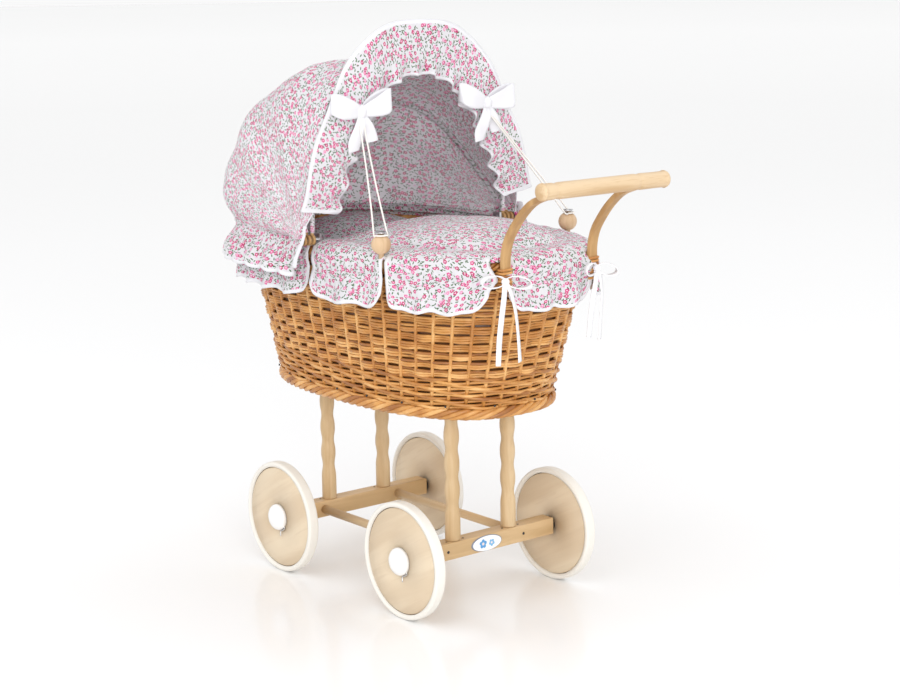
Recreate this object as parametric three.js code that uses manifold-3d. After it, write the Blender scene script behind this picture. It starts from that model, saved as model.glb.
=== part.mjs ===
// Wicker doll stroller: a woven oval basket on a turned beech undercarriage with four wheels,
// a fabric hood on bent hoops, bedding, and a bent-arm push handle.
// Millimetres, +Z up. X runs along the stroller: the hood is at -X and the push handle at +X.
import * as THREE from 'three';
import { mergeVertices } from 'three/addons/utils/BufferGeometryUtils.js';
import Module from 'manifold-3d';

const wasm = await Module();
wasm.setup();

// ---- Driving dimensions ----
const gap = 0.3;                 // clearance between touching pieces
const runningGap = 0.4;          // clearance between an axle pin and the wheel that turns on it

const wheelBase = 243.6;
const tyreRadius = 68;
const tyreWidth = 14;
const discRadius = 62;
const discThickness = 10;
const axleRadius = 3;
const hubCapRadius = 16.5;
const hubCapHeight = 11;
const washerRadius = 9;
const washerThickness = 2.4;

const beamSection = 20;
const beamLength = 210;
const stretcherRadius = 5.2;
const stretcherSpacing = 114;
const postRadius = 9;
const postSpacing = 84;
const beadPitch = 34;
const beadDepth = 1.5;
const postFootLength = 26;
const labelLength = 46;
const labelHeight = 19;

const basketFloorHeight = 236;
const basketBaseLength = 394;
const basketBaseWidth = 220;
const basketRimHeight = 403;
const basketRimLength = 492;
const basketRimWidth = 272;
const basketSetback = -2;        // basket centre, measured from the middle of the wheelbase
const planPower = 2.6;           // exponent of the basket's superellipse plan
const wallThickness = 8;
const boardThickness = 6;
const footBorderWidth = 14;
const footBorderHeight = 13;
const rimBorderWidth = 12;
const rimBorderHeight = 13;

const barRadius = 9.75;
const barLength = 179;
const barReach = 330;            // handle bar centre, forward of the middle of the wheelbase
const barLift = 82.7;            // handle bar centre, above the top of the rim border
const armSpacing = 126;
const armWidth = 11;
const armThickness = 6;
const armFootDrop = 51;          // below the basket's rim
const armClear = 2.5;            // between the handle arms and the rim border

const knobRadius = 11;
const knobForward = 123.6;
const knobRise = 14;              // ball centre above the rim border
const knobStemRadius = 5;
const knobStemDrop = 42;         // stem below the top of the rim border
const knobScrewRadius = 1.6;
const knobScrewLength = 24;
const knobCupRadius = 6.5;
const knobFlat = 4.5;            // radius of the flat on top of the ball

const coverThickness = 3;        // skirt panels that hang over the rim
const skirtDrop = 52;
const linerDrop = 12;
const skirtFlare = 4;
const slitWidth = 9;
const knobSlit = 17;

const mattressThickness = 28;
const beddingGap = 3;
const quiltHeadEdge = 4;
const quiltThickness = 26;
const quiltCrown = 24;
const pillowThickness = 60;
const pillowFootEdge = -38;
const pillowHeadEdge = -178;
const pillowWidth = 190;

const hoodPivotForward = 0;
const hoodPivotLift = 4.5;       // pivot line above the top of the skirt panels
const frontPanelRadius = [198, 199];   // pivot to crown, at the panel's front and rear edges
const midPanelRadius = [203, 206];
const rearPanelRadius = [210, 272];
const rearPanelGrowth = 1.6;     // how late the rear panel widens towards the rim
const hoodSideOffset = 7;        // front panel, outside the basket's wall
const hoodNesting = 6;           // sideways step between panels that slide over each other
const frontHoodPower = 3.2;      // squareness of the hood's cross-section, rounder to stay inside the brim
const midHoodPower = 4.2;
const rearHoodPower = [5, 3];    // at its hoop and at the rim
const panelThickness = 1.6;
const hoopRadius = 2;
const frontHoopAngle = 86;
const midHoopAngle = 108.5;
const rearHoopAngle = 138.5;
const hoopToPanel = 3;         // between a hoop and the front edge of its panel
const frontPanelEnd = 113;
const midPanelEnd = 146;
const rearPanelEnd = 179.5;
const hoodPinRadius = 2.8;
const hoopEyeRadius = 6;
const hoopEyeThickness = 3;
const bracketThickness = 3;
const bracketWidth = 12;
const flounceDrop = 56;
const flounceThickness = 2.5;

const brimForward = 19.5;
const brimThickness = 3;
const brimOuterFootLift = 35.9;  // above the pivot line
const brimOverhang = 29;         // outer edge, outside the front panel
const brimOuterRise = 207;
const brimOuterPower = 2.9;
const brimInnerFootLift = 28.9;
const brimInset = 23;            // inner edge, inside the front panel
const brimInnerRise = 150;
const brimInnerPower = 2.4;
const bowLift = 142.9;           // above the pivot line
const bowInset = 51;             // inside the front panel
const bowSpan = 58;
const bowThickness = 5;
const elasticRadius = 1;
const flounceClear = 5;
const flounceFlare = 20;
const flounceStart = 14;
const tapeWidth = 6;
const tapeThickness = 1.2;
const tieLowering = 20.3;        // knot below the top of the rim border
const tieStandOff = 2;            // from the arm's outer face to the tape
const tieOffset = 4;             // outward from the middle of the handle arm
const tieDrop = 92;
const tieSpread = 9;

// ---- Dimensions that follow from the ones above ----
const axleHeight = tyreRadius;
const axleForward = wheelBase / 2;
const beamTop = axleHeight + beamSection / 2;
const washerInner = beamLength / 2 + gap;
const discInner = washerInner + washerThickness + gap;
const discOuter = discInner + discThickness;
const wheelMiddle = (discInner + discOuter) / 2;
const capInner = discOuter + gap;
const axleEnd = capInner + hubCapHeight / 2;
const footBorderTop = basketFloorHeight + footBorderHeight / 2;
const footBorderBottom = basketFloorHeight - footBorderHeight / 2;
const wallBottom = footBorderTop + gap;
const boardBottom = basketFloorHeight - boardThickness / 2;
const rimBorderBottom = basketRimHeight + gap;
const rimBorderTop = rimBorderBottom + rimBorderHeight;
const rimBorderOffset = rimBorderWidth / 2 - wallThickness;
const rimOuter = rimBorderOffset + rimBorderWidth / 2;
const rimInner = rimBorderOffset - rimBorderWidth / 2;
const coverOuter = rimOuter + gap + coverThickness;
const coverTop = rimBorderTop + gap + coverThickness;
const hoodPivotHeight = coverTop + hoodPivotLift;
const brimFront = hoodPivotForward + brimForward + brimThickness;
const frontPanelHalfWidth = basketRimWidth / 2 + hoodSideOffset;
const brimOuterFoot = hoodPivotHeight + brimOuterFootLift;
const brimInnerFoot = hoodPivotHeight + brimInnerFootLift;
const brimOuterHalfWidth = frontPanelHalfWidth + brimOverhang;
const brimInnerHalfWidth = frontPanelHalfWidth - brimInset;
const bowHeight = hoodPivotHeight + bowLift;
const bowSide = frontPanelHalfWidth - bowInset;
const barHeight = rimBorderTop + barLift;
const armFootHeight = basketRimHeight - armFootDrop;
const tieHeight = rimBorderTop - tieLowering;
const knobCentre = rimBorderTop + knobRise;
const knobCrown = Math.sqrt(knobRadius ** 2 - knobFlat ** 2);
const elasticLoop = knobCupRadius + elasticRadius;

const finishes = {
  beech: [0xd9b98c, 0.55, 0],
  wheelWood: [0xdec8a5, 0.6, 0],
  rubber: [0xf3efe4, 0.7, 0],
  plastic: [0xf8f8f8, 0.25, 0],
  steel: [0x9a9da0, 0.35, 0.9],
  wicker: [0xc98a48, 0.6, 0],
  bentWood: [0xbe935c, 0.55, 0],
  board: [0xd2b48a, 0.7, 0],
  print: [0xe9dfe6, 0.9, 0],
  linen: [0xf2f0f2, 0.9, 0],
  satin: [0xfbfbfd, 0.4, 0],
  elastic: [0xf2ece0, 0.8, 0],
  paper: [0xf4f6fa, 0.4, 0],
};

const stroller = new THREE.Group();

// ---- Geometry helpers ----

// Drops the normals and uvs, joins shared corners and turns the faces outwards.
function closed(geometry) {
  const solid = geometry.clone();
  solid.deleteAttribute('normal');
  solid.deleteAttribute('uv');
  const merged = mergeVertices(solid, 1e-3);
  const points = merged.attributes.position;
  const [a, b, c] = [new THREE.Vector3(), new THREE.Vector3(), new THREE.Vector3()];
  const kept = [];
  let volume = 0;
  for (let i = 0; i < merged.index.count; i += 3) {
    const corners = [0, 1, 2].map((k) => merged.index.getX(i + k));
    if (new Set(corners).size < 3) continue;
    kept.push(corners);
    a.fromBufferAttribute(points, corners[0]);
    b.fromBufferAttribute(points, corners[1]);
    c.fromBufferAttribute(points, corners[2]);
    volume += a.dot(b.cross(c));
  }
  if (volume < 0) kept.forEach((corners) => corners.reverse());
  merged.setIndex(kept.flat());
  return merged;
}

function toManifold(geometry) {
  const solid = closed(geometry);
  const vertProperties = new Float32Array(solid.attributes.position.array);
  const triVerts = new Uint32Array(solid.index.array);
  return new wasm.Manifold(new wasm.Mesh({ numProp: 3, vertProperties, triVerts }));
}

// Takes every cutter away from the body.
function cut(body, ...cutters) {
  let result = toManifold(body);
  for (const cutter of cutters) result = result.subtract(toManifold(cutter));
  return fromManifold(result);
}

function fromManifold(solid) {
  const mesh = solid.getMesh();
  const geometry = new THREE.BufferGeometry();
  geometry.setAttribute('position', new THREE.BufferAttribute(mesh.vertProperties, 3));
  geometry.setIndex(Array.from(mesh.triVerts));
  return geometry;
}

function join(...bodies) {
  return fromManifold(bodies.map(toManifold).reduce((whole, body) => whole.add(body)));
}

function addPiece(name, finish, geometry) {
  const [color, roughness, metalness] = finishes[finish];
  const material = new THREE.MeshStandardMaterial({ color, roughness, metalness });
  const mesh = new THREE.Mesh(closed(geometry), material);
  mesh.name = name;
  stroller.add(mesh);
  return mesh;
}

function box(sizeX, sizeY, sizeZ, x, y, z) {
  return new THREE.BoxGeometry(sizeX, sizeY, sizeZ).translate(x, y, z);
}

// A profile of [radius, height] pairs turned about the Z axis.
function turnedUpright(profile, segments) {
  const points = profile.map(([radius, height]) => new THREE.Vector2(radius, height));
  return new THREE.LatheGeometry(points, segments).rotateX(Math.PI / 2);
}

// A profile of [radius, distance outward] pairs turned about a sideways axis at an axle.
function turnedSideways(profile, segments, forward, side) {
  const points = profile.map(([radius, outward]) => new THREE.Vector2(radius, outward));
  const geometry = new THREE.LatheGeometry(points, segments);
  geometry.rotateY(Math.PI / segments);
  if (side < 0) geometry.scale(1, -1, 1);
  return geometry.translate(forward, 0, axleHeight);
}

function sidewaysRod(radius, length, segments, forward, middle, height) {
  return new THREE.CylinderGeometry(radius, radius, length, segments).translate(forward, middle, height);
}

function superellipse(angle, halfX, halfY, power) {
  const [c, s] = [Math.cos(angle), Math.sin(angle)];
  return [
    halfX * Math.sign(c) * Math.abs(c) ** (2 / power),
    halfY * Math.sign(s) * Math.abs(s) ** (2 / power),
  ];
}

// Half length and half width of the basket's outer face at a height.
function basketSize(height) {
  const rise = (height - basketFloorHeight) / (basketRimHeight - basketFloorHeight);
  const share = Math.min(Math.max(rise, 0), 1);
  return [
    THREE.MathUtils.lerp(basketBaseLength, basketRimLength, share) / 2,
    THREE.MathUtils.lerp(basketBaseWidth, basketRimWidth, share) / 2,
  ];
}

function basketPoint(angle, offset, height) {
  const [halfX, halfY] = basketSize(height);
  const [x, y] = superellipse(angle, halfX + offset, halfY + offset, planPower);
  return new THREE.Vector3(x + basketSetback, y, height);
}

// A band around the basket. The profile is [offset from the outer face, height] pairs.
function basketRing(profile, segments) {
  const reach = 1000;
  const outline = [...profile, profile[0]];
  const points = outline.map(([offset, height]) => new THREE.Vector2(reach + offset, height));
  const geometry = new THREE.LatheGeometry(points, segments).rotateX(Math.PI / 2);
  const position = geometry.attributes.position;
  for (let i = 0; i < position.count; i += 1) {
    const [x, y, z] = [position.getX(i), position.getY(i), position.getZ(i)];
    const placed = basketPoint(Math.atan2(y, x), Math.hypot(x, y) - reach, z);
    position.setXYZ(i, placed.x, placed.y, placed.z);
  }
  return geometry;
}

// Joins a row of equal cross-sections (lists of Vector3) into a solid with flat ends.
function loft(sections) {
  const count = sections[0].length;
  const positions = sections.flat().flatMap((point) => point.toArray());
  const index = [];
  for (let s = 0; s < sections.length - 1; s += 1) {
    for (let k = 0; k < count; k += 1) {
      const [a, b] = [s * count + k, s * count + ((k + 1) % count)];
      index.push(a, b, b + count, a, b + count, a + count);
    }
  }
  const last = (sections.length - 1) * count;
  for (let k = 0; k < count / 2 - 1; k += 1) {
    const [a, b] = [k, count - 1 - k];
    index.push(a, b, a + 1, b, b - 1, a + 1);
    index.push(last + a, last + a + 1, last + b, last + b, last + a + 1, last + b - 1);
  }
  const geometry = new THREE.BufferGeometry();
  geometry.setAttribute('position', new THREE.Float32BufferAttribute(positions, 3));
  geometry.setIndex(index);
  return geometry;
}

// A tube or strip that follows a curve: the outline is swept along it.
function swept(outline, curve, steps) {
  return new THREE.ExtrudeGeometry(outline, { extrudePath: curve, steps, bevelEnabled: false });
}

function circleShape(radius, sides) {
  const corners = [];
  for (let i = 0; i < sides; i += 1) {
    const angle = ((i + 0.5) * 2 * Math.PI) / sides;
    corners.push(new THREE.Vector2(radius * Math.cos(angle), radius * Math.sin(angle)));
  }
  return new THREE.Shape(corners);
}

function tube(points, radius, sides, steps) {
  return swept(circleShape(radius, sides), new THREE.CatmullRomCurve3(points), steps);
}

// ---- Undercarriage ----
const ends = [['front', -1], ['rear', 1]];
const sides = [['left', -1], ['right', 1]];

function addUndercarriage() {
  const stretcherLength = wheelBase - beamSection - 2 * gap;
  for (const [end, endSign] of ends) {
    const forward = endSign * axleForward;
    const bore = sidewaysRod(axleRadius + gap, beamLength + 2, 12, forward, 0, axleHeight);
    const beam = box(beamSection, beamLength, beamSection, forward, 0, axleHeight);
    addPiece(`${end}_axle_beam`, 'beech', cut(beam, bore));
    addPiece(`${end}_axle`, 'steel', sidewaysRod(axleRadius, 2 * axleEnd, 16, forward, 0, axleHeight));
    for (const [sideName, side] of sides) {
      const post = turnedPost().translate(forward, (side * postSpacing) / 2, 0);
      addPiece(`${end}_${sideName}_post`, 'beech', post);
      addWheel(`${end}_${sideName}`, forward, side);
    }
  }
  for (const [sideName, side] of sides) {
    const rod = new THREE.CylinderGeometry(stretcherRadius, stretcherRadius, stretcherLength, 12);
    rod.rotateZ(Math.PI / 2).translate(0, (side * stretcherSpacing) / 2, axleHeight);
    addPiece(`${sideName}_stretcher`, 'beech', rod);
  }
  const plate = new THREE.CylinderGeometry(0.5, 0.5, 1, 24).rotateZ(Math.PI / 2);
  plate.scale(1, labelLength, labelHeight);
  plate.translate(axleForward + beamSection / 2 + gap + 0.5, 0, axleHeight);
  addPiece('name_plate', 'paper', plate);
}

// A straight foot with rounded beads above it, up to the basket's bottom board.
function turnedPost() {
  const bottom = beamTop + gap;
  const top = boardBottom - gap;
  const profile = [[0, bottom], [postRadius, bottom], [postRadius, bottom + postFootLength]];
  const beads = Math.max(1, Math.round((top - bottom - postFootLength) / beadPitch));
  const pitch = (top - bottom - postFootLength) / beads;
  for (let i = 0; i < beads; i += 1) {
    const start = bottom + postFootLength + i * pitch;
    profile.push([postRadius - beadDepth, start + pitch * 0.22]);
    profile.push([postRadius, start + pitch * 0.55]);
  }
  profile.push([postRadius, top], [0, top]);
  return turnedUpright(profile, 12);
}

function addWheel(label, forward, side) {
  const bore = axleRadius + runningGap;
  const ringProfile = (inner, outer, start, end) => [
    [inner, start], [outer, start], [outer, end], [inner, end], [inner, start],
  ];
  const washer = ringProfile(bore, washerRadius, washerInner, washerInner + washerThickness);
  addPiece(`${label}_washer`, 'steel', turnedSideways(washer, 12, forward, side));
  const disc = ringProfile(bore, discRadius, discInner, discOuter);
  addPiece(`${label}_wheel_disc`, 'wheelWood', turnedSideways(disc, 36, forward, side));

  const half = tyreWidth / 2;
  const tread = tyreRadius / Math.cos(Math.PI / 36);
  const shoulder = tread - 2.5;
  const tyreInside = discRadius + gap;
  const tyre = [
    [tyreInside, wheelMiddle - half + 1], [shoulder, wheelMiddle - half], [tread, wheelMiddle - half + 3.5],
    [tread, wheelMiddle + half - 3.5], [shoulder, wheelMiddle + half], [tyreInside, wheelMiddle + half - 1],
    [tyreInside, wheelMiddle - half + 1],
  ];
  addPiece(`${label}_tyre`, 'rubber', turnedSideways(tyre, 36, forward, side));

  const pocketEnd = axleEnd + runningGap;
  const cap = [
    [0, pocketEnd], [bore, pocketEnd], [bore, capInner], [hubCapRadius, capInner],
    [hubCapRadius, capInner + 2.5], [hubCapRadius - 2.5, capInner + hubCapHeight - 4],
    [hubCapRadius - 7, capInner + hubCapHeight - 1], [0, capInner + hubCapHeight],
  ];
  addPiece(`${label}_hub_cap`, 'plastic', turnedSideways(cap, 20, forward, side));
}

// ---- Wicker basket ----
function addBasket() {
  const wall = [
    [0, wallBottom], [0, basketRimHeight], [-wallThickness, basketRimHeight], [-wallThickness, wallBottom],
  ];
  addPiece('basket_wall', 'wicker', basketRing(wall, 40));

  const footInner = -footBorderWidth + 4;
  const foot = [
    [footInner + 3, footBorderBottom], [1, footBorderBottom], [4, basketFloorHeight],
    [1, footBorderTop], [footInner + 3, footBorderTop], [footInner, basketFloorHeight],
  ];
  addPiece('basket_foot_border', 'wicker', basketRing(foot, 40));

  const boardEdge = [];
  for (let i = 0; i < 48; i += 1) {
    const point = basketPoint((i * 2 * Math.PI) / 48, footInner - 2 * gap, basketFloorHeight);
    boardEdge.push(new THREE.Vector2(point.x, point.y));
  }
  const flat = { depth: boardThickness, bevelEnabled: false };
  const board = new THREE.ExtrudeGeometry(new THREE.Shape(boardEdge), flat);
  addPiece('basket_bottom_board', 'board', board.translate(0, 0, boardBottom));

  const half = rimBorderWidth / 2;
  const middle = (rimBorderBottom + rimBorderTop) / 2;
  const rim = [
    [rimBorderOffset - half + 3, rimBorderBottom], [rimBorderOffset + half - 3, rimBorderBottom],
    [rimBorderOffset + half, middle], [rimBorderOffset + half - 3, rimBorderTop],
    [rimBorderOffset - half + 3, rimBorderTop], [rimBorderOffset - half, middle],
  ];
  addPiece('basket_rim_border', 'wicker', basketRing(rim, 40));
}

// Sideways place of the point of a rim curve that lies at a given place along X.
function sideAt(forward, offset, height) {
  const [halfX, halfY] = basketSize(height);
  const share = Math.abs(forward - basketSetback) / (halfX + offset);
  return (halfY + offset) * (1 - share ** planPower) ** (1 / planPower);
}

// Place along X of the point of a rim curve that lies at a given sideways place.
function endAt(sideways, offset, height) {
  const [halfX, halfY] = basketSize(height);
  const share = Math.abs(sideways) / (halfY + offset);
  return basketSetback + (halfX + offset) * (1 - share ** planPower) ** (1 / planPower);
}

function knobSide() {
  return sideAt(knobForward - knobStemRadius, rimOuter, basketRimHeight) + knobStemRadius + 2 * gap;
}

// Angle on the rim's plan where the curve passes a place along X (near the sides).
function angleAt(forward) {
  const [halfX] = basketSize(basketRimHeight);
  const share = (forward - basketSetback) / halfX;
  return Math.acos(Math.sign(share) * Math.abs(share) ** (planPower / 2));
}

// Angle on the rim's plan where the curve passes a sideways place (near the ends).
function angleBeside(sideways) {
  const [, halfY] = basketSize(basketRimHeight);
  return Math.asin((sideways / halfY) ** (planPower / 2));
}

// ---- Push handle ----
function addHandle() {
  const nearEdge = (armSpacing - armWidth) / 2;
  const standOff = gap + armThickness / 2;
  const past = endAt(nearEdge, rimOuter, basketRimHeight) + standOff + armClear;
  const foot = endAt(nearEdge, 0, armFootHeight) + standOff + 2;
  const rise = barHeight - 3 - rimBorderTop;
  const run = barReach - past;
  const route = [[foot, armFootHeight], [past, rimBorderBottom - 3], [past, rimBorderTop]];
  const bend = [[0.02, 0.15], [0.07, 0.3], [0.17, 0.46], [0.33, 0.66], [0.54, 0.84], [0.74, 0.92], [1, 1]];
  for (const [along, up] of bend) {
    route.push([past + run * along, rimBorderTop + rise * up]);
  }
  const strip = new THREE.Shape([
    new THREE.Vector2(-armWidth / 2, -armThickness / 2), new THREE.Vector2(armWidth / 2, -armThickness / 2),
    new THREE.Vector2(armWidth / 2, armThickness / 2), new THREE.Vector2(-armWidth / 2, armThickness / 2),
  ]);
  for (const [sideName, side] of sides) {
    const points = route.map(([x, z]) => new THREE.Vector3(x, (side * armSpacing) / 2, z));
    const arm = swept(strip, new THREE.CatmullRomCurve3(points), 26);
    const seat = new THREE.CylinderGeometry(barRadius + gap, barRadius + gap, barLength, 24);
    addPiece(`${sideName}_handle_arm`, 'bentWood', cut(arm, seat.translate(barReach, 0, barHeight)));
  }
  const half = barLength / 2;
  const bar = [
    [0, -half], [barRadius - 2.5, -half], [barRadius, -half + 3], [barRadius - 0.8, -half * 0.55],
    [barRadius, -half * 0.2], [barRadius - 0.9, half * 0.15], [barRadius, half * 0.5],
    [barRadius - 0.6, half * 0.75], [barRadius, half - 3], [barRadius - 2.5, half], [0, half],
  ];
  const turned = new THREE.LatheGeometry(bar.map(([radius, y]) => new THREE.Vector2(radius, y)), 16);
  addPiece('push_bar', 'beech', turned.translate(barReach, 0, barHeight));
}

// ---- Knobs that hold the hood's elastic: each is a ball on a stem beside the rim ----
function addKnobs() {
  for (const [sideName, side] of sides) {
    const hole = knobScrewRadius + gap;
    const crown = knobCentre + knobCrown;
    const cup = crown + gap;
    const tip = cup - knobScrewLength;
    const stemBottom = rimBorderTop - knobStemDrop;
    const neck = Math.asin(knobStemRadius / knobRadius) - Math.PI / 2;
    const ball = [[0, stemBottom], [knobStemRadius, stemBottom]];
    for (let i = 0; i <= 7; i += 1) {
      const angle = THREE.MathUtils.lerp(neck, Math.acos(knobFlat / knobRadius), i / 7);
      ball.push([knobRadius * Math.cos(angle), knobCentre + knobRadius * Math.sin(angle)]);
    }
    ball.push([hole, crown], [hole, tip - gap], [0, tip - gap]);
    const place = (geometry) => geometry.translate(knobForward, side * knobSide(), 0);
    addPiece(`${sideName}_hood_knob`, 'beech', place(turnedUpright(ball, 12)));
    const screw = [
      [0, tip], [knobScrewRadius, tip], [knobScrewRadius, cup], [3.5, cup],
      [knobCupRadius, cup + 3], [knobCupRadius - 1, cup + 3.6], [3.2, cup + 1.6], [0, cup + 2.4],
    ];
    addPiece(`${sideName}_knob_screw`, 'steel', place(turnedUpright(screw, 12)));
  }
}

// ---- Liner and skirt that fold over the rim ----

// Part of a band round the rim. The outline is [offset from the rim, height] pairs.
function bandPiece(outline, startAngle, endAngle, steps) {
  const sections = [];
  for (let i = 0; i <= steps; i += 1) {
    const angle = THREE.MathUtils.lerp(startAngle, endAngle, i / steps);
    sections.push(outline.map(([offset, height]) => basketPoint(angle, offset, height)));
  }
  return loft(sections);
}

// An upside-down U over the rim border, slit at the hood pins, the knobs and the handle arms.
// The liner inside the rim stays whole, so the slits leave one piece.
function addSkirt() {
  const inside = rimInner - gap;
  const outside = rimOuter + gap;
  const under = rimBorderTop + gap;
  const hem = rimBorderTop - skirtDrop;
  const linerEdge = rimBorderTop - linerDrop;
  const outline = [
    [outside + skirtFlare, hem], [outside, rimBorderBottom], [outside, under - 3], [outside - 3, under],
    [inside + 3, under], [inside, under - 3], [inside, linerEdge], [inside - coverThickness, linerEdge],
    [inside - coverThickness, coverTop - 4], [inside + 1, coverTop], [outside - 1, coverTop],
    [coverOuter, coverTop - 4], [coverOuter, rimBorderBottom], [outside + skirtFlare + coverThickness, hem],
  ];
  const height = coverTop - hem + 4;
  const middle = (coverTop + hem) / 2;
  const depth = 60;
  const armSlit = [
    [inside + gap, hem - 2], [outside + depth, hem - 2],
    [outside + depth, coverTop + 2], [inside + gap, coverTop + 2],
  ];
  const slits = [];
  for (const [, side] of sides) {
    for (const [forward, width] of [[knobForward, knobSlit], [hoodPivotForward, bracketWidth + slitWidth]]) {
      const start = sideAt(forward - width / 2, inside, basketRimHeight) + gap;
      slits.push(box(width, depth, height, forward, side * (start + depth / 2), middle));
    }
    const start = angleBeside((armSpacing - armWidth - slitWidth) / 2);
    const end = angleBeside((armSpacing + armWidth) / 2 + slitWidth);
    slits.push(bandPiece(armSlit, side * start, side * end, 3));
  }
  addPiece('liner_skirt', 'print', cut(basketRing(outline, 40), ...slits));
}

// ---- Bedding ----

// A flat-bottomed pad with a crowned top. Its plan is the basket's, cut off between two places along X.
function crownedPad(startX, endX, halfWidthAt, bottom, edge, crown) {
  const rows = 12;
  const sections = [];
  for (let i = 0; i <= rows; i += 1) {
    const share = (1 - Math.cos((Math.PI * i) / rows)) / 2;
    const x = THREE.MathUtils.lerp(startX, endX, share);
    const half = halfWidthAt(x);
    const along = 1 - Math.abs(2 * share - 1) ** 3;
    const section = [];
    for (let k = 0; k <= 10; k += 1) {
      const across = Math.cos((Math.PI * k) / 10);
      const height = bottom + edge + crown * along * (1 - Math.abs(across) ** 2.5);
      section.push(new THREE.Vector3(x, half * across, height));
    }
    for (let k = 10; k >= 0; k -= 1) {
      section.push(new THREE.Vector3(x, half * Math.cos((Math.PI * k) / 10) * 0.985, bottom));
    }
    sections.push(section);
  }
  return loft(sections);
}

function addBedding() {
  const linerInside = rimInner - gap - coverThickness;
  const boardTop = boardBottom + boardThickness;
  const mattressEdge = [];
  for (let i = 0; i < 36; i += 1) {
    const point = basketPoint((i * 2 * Math.PI) / 36, -wallThickness - beddingGap, wallBottom);
    mattressEdge.push(new THREE.Vector2(point.x, point.y));
  }
  const soften = {
    depth: mattressThickness - 6, bevelSize: 3, bevelThickness: 3, bevelSegments: 1, bevelOffset: -3,
  };
  const mattress = new THREE.ExtrudeGeometry(new THREE.Shape(mattressEdge), soften);
  addPiece('mattress', 'linen', mattress.translate(0, 0, boardTop + 3 + gap));

  const quiltEnd = basketPoint(0, linerInside - beddingGap, basketRimHeight).x - 2;
  const quiltHalf = (x) => sideAt(x, linerInside - beddingGap, basketRimHeight);
  const quiltBottom = coverTop - quiltThickness;
  const quilt = crownedPad(quiltHeadEdge, quiltEnd, quiltHalf, quiltBottom, quiltThickness - 6, quiltCrown);
  addPiece('quilt', 'print', quilt);

  const pillowBottom = coverTop - pillowThickness + 10;
  const room = (x) => sideAt(x, -wallThickness - beddingGap, pillowBottom);
  const pillowHalf = (x) => Math.min(pillowWidth / 2, room(x));
  const pillowSide = pillowThickness - 24;
  const pillow = crownedPad(pillowHeadEdge, pillowFootEdge, pillowHalf, pillowBottom, pillowSide, 26);
  addPiece('pillow', 'print', pillow);
}

// ---- Hood ----

// The three panels, front to rear: angles, radii, squareness and half width of each.
const hoodPanels = [
  {
    name: 'front', start: frontHoopAngle, end: frontPanelEnd, radius: frontPanelRadius,
    power: [frontHoodPower, frontHoodPower], growth: 1, halfWidth: frontPanelHalfWidth,
  },
  {
    name: 'mid', start: midHoopAngle, end: midPanelEnd, radius: midPanelRadius,
    power: [midHoodPower, midHoodPower], growth: 1, halfWidth: frontPanelHalfWidth + hoodNesting,
  },
  {
    name: 'rear', start: rearHoopAngle, end: rearPanelEnd, radius: rearPanelRadius,
    power: rearHoodPower, growth: rearPanelGrowth, halfWidth: frontPanelHalfWidth + 2 * hoodNesting,
  },
];

function hoodPoint(sideways, radius, degrees) {
  const angle = THREE.MathUtils.degToRad(degrees);
  const forward = hoodPivotForward + radius * Math.cos(angle);
  return new THREE.Vector3(forward, sideways, hoodPivotHeight + radius * Math.sin(angle));
}

// A panel of the hood: it starts close behind its hoop and swings about the pivot line to its rear edge.
function hoodPanel(panel) {
  const first = 0.0006;
  const columns = 18;
  const steps = Math.max(3, Math.round((panel.end - panel.start) / 8));
  const placed = ([sideways, radius], share) => {
    const behindHoop = THREE.MathUtils.radToDeg(Math.asin(Math.min(1, (hoopRadius + hoopToPanel) / radius)));
    return hoodPoint(sideways, radius, THREE.MathUtils.lerp(panel.start + behindHoop, panel.end, share));
  };
  const sections = [];
  for (let s = 0; s <= steps; s += 1) {
    const share = s / steps;
    const radius = THREE.MathUtils.lerp(...panel.radius, share ** panel.growth);
    const power = THREE.MathUtils.lerp(...panel.power, share);
    const outer = [];
    const inner = [];
    for (let i = 0; i <= columns; i += 1) {
      const angle = Math.PI * THREE.MathUtils.lerp(first, 1 - first, i / columns);
      outer.push(placed(superellipse(angle, panel.halfWidth, radius, power), share));
      const lining = superellipse(angle, panel.halfWidth - panelThickness, radius - panelThickness, power);
      inner.unshift(placed(lining, share));
    }
    sections.push([...outer, ...inner]);
  }
  return loft(sections);
}

// A bent hoop along a panel's front edge, with an eye on the pivot pin at each end.
function hoop(panel) {
  const eyeSide = panel.halfWidth - 1;
  const radius = panel.radius[0] - 1;
  const points = [hoodPoint(eyeSide, hoopEyeRadius - 1, panel.start)];
  const first = 0.002;
  for (let i = 0; i <= 16; i += 1) {
    const angle = Math.PI * THREE.MathUtils.lerp(first, 1 - first, i / 16);
    points.push(hoodPoint(...superellipse(angle, eyeSide, radius, panel.power[0]), panel.start));
  }
  points.push(hoodPoint(-eyeSide, hoopEyeRadius - 1, panel.start));
  const wire = tube(points, hoopRadius, 6, 32);
  const hole = hoodPinRadius + runningGap;
  const eyes = sides.map(([, side]) => hoodRing(hole, hoopEyeRadius, hoopEyeThickness, side * eyeSide));
  const bores = sides.map(([, side]) => hoodRod(hole, 2 * hoopEyeThickness, side * eyeSide));
  return cut(join(wire, ...eyes), ...bores);
}

function hoodRod(radius, length, middle) {
  const rod = new THREE.CylinderGeometry(radius, radius, length, 16);
  return rod.translate(hoodPivotForward, middle, hoodPivotHeight);
}

function hoodRing(inner, outer, thickness, middle) {
  return cut(hoodRod(outer, thickness, middle), hoodRod(inner, 2 * thickness, middle));
}

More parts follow.
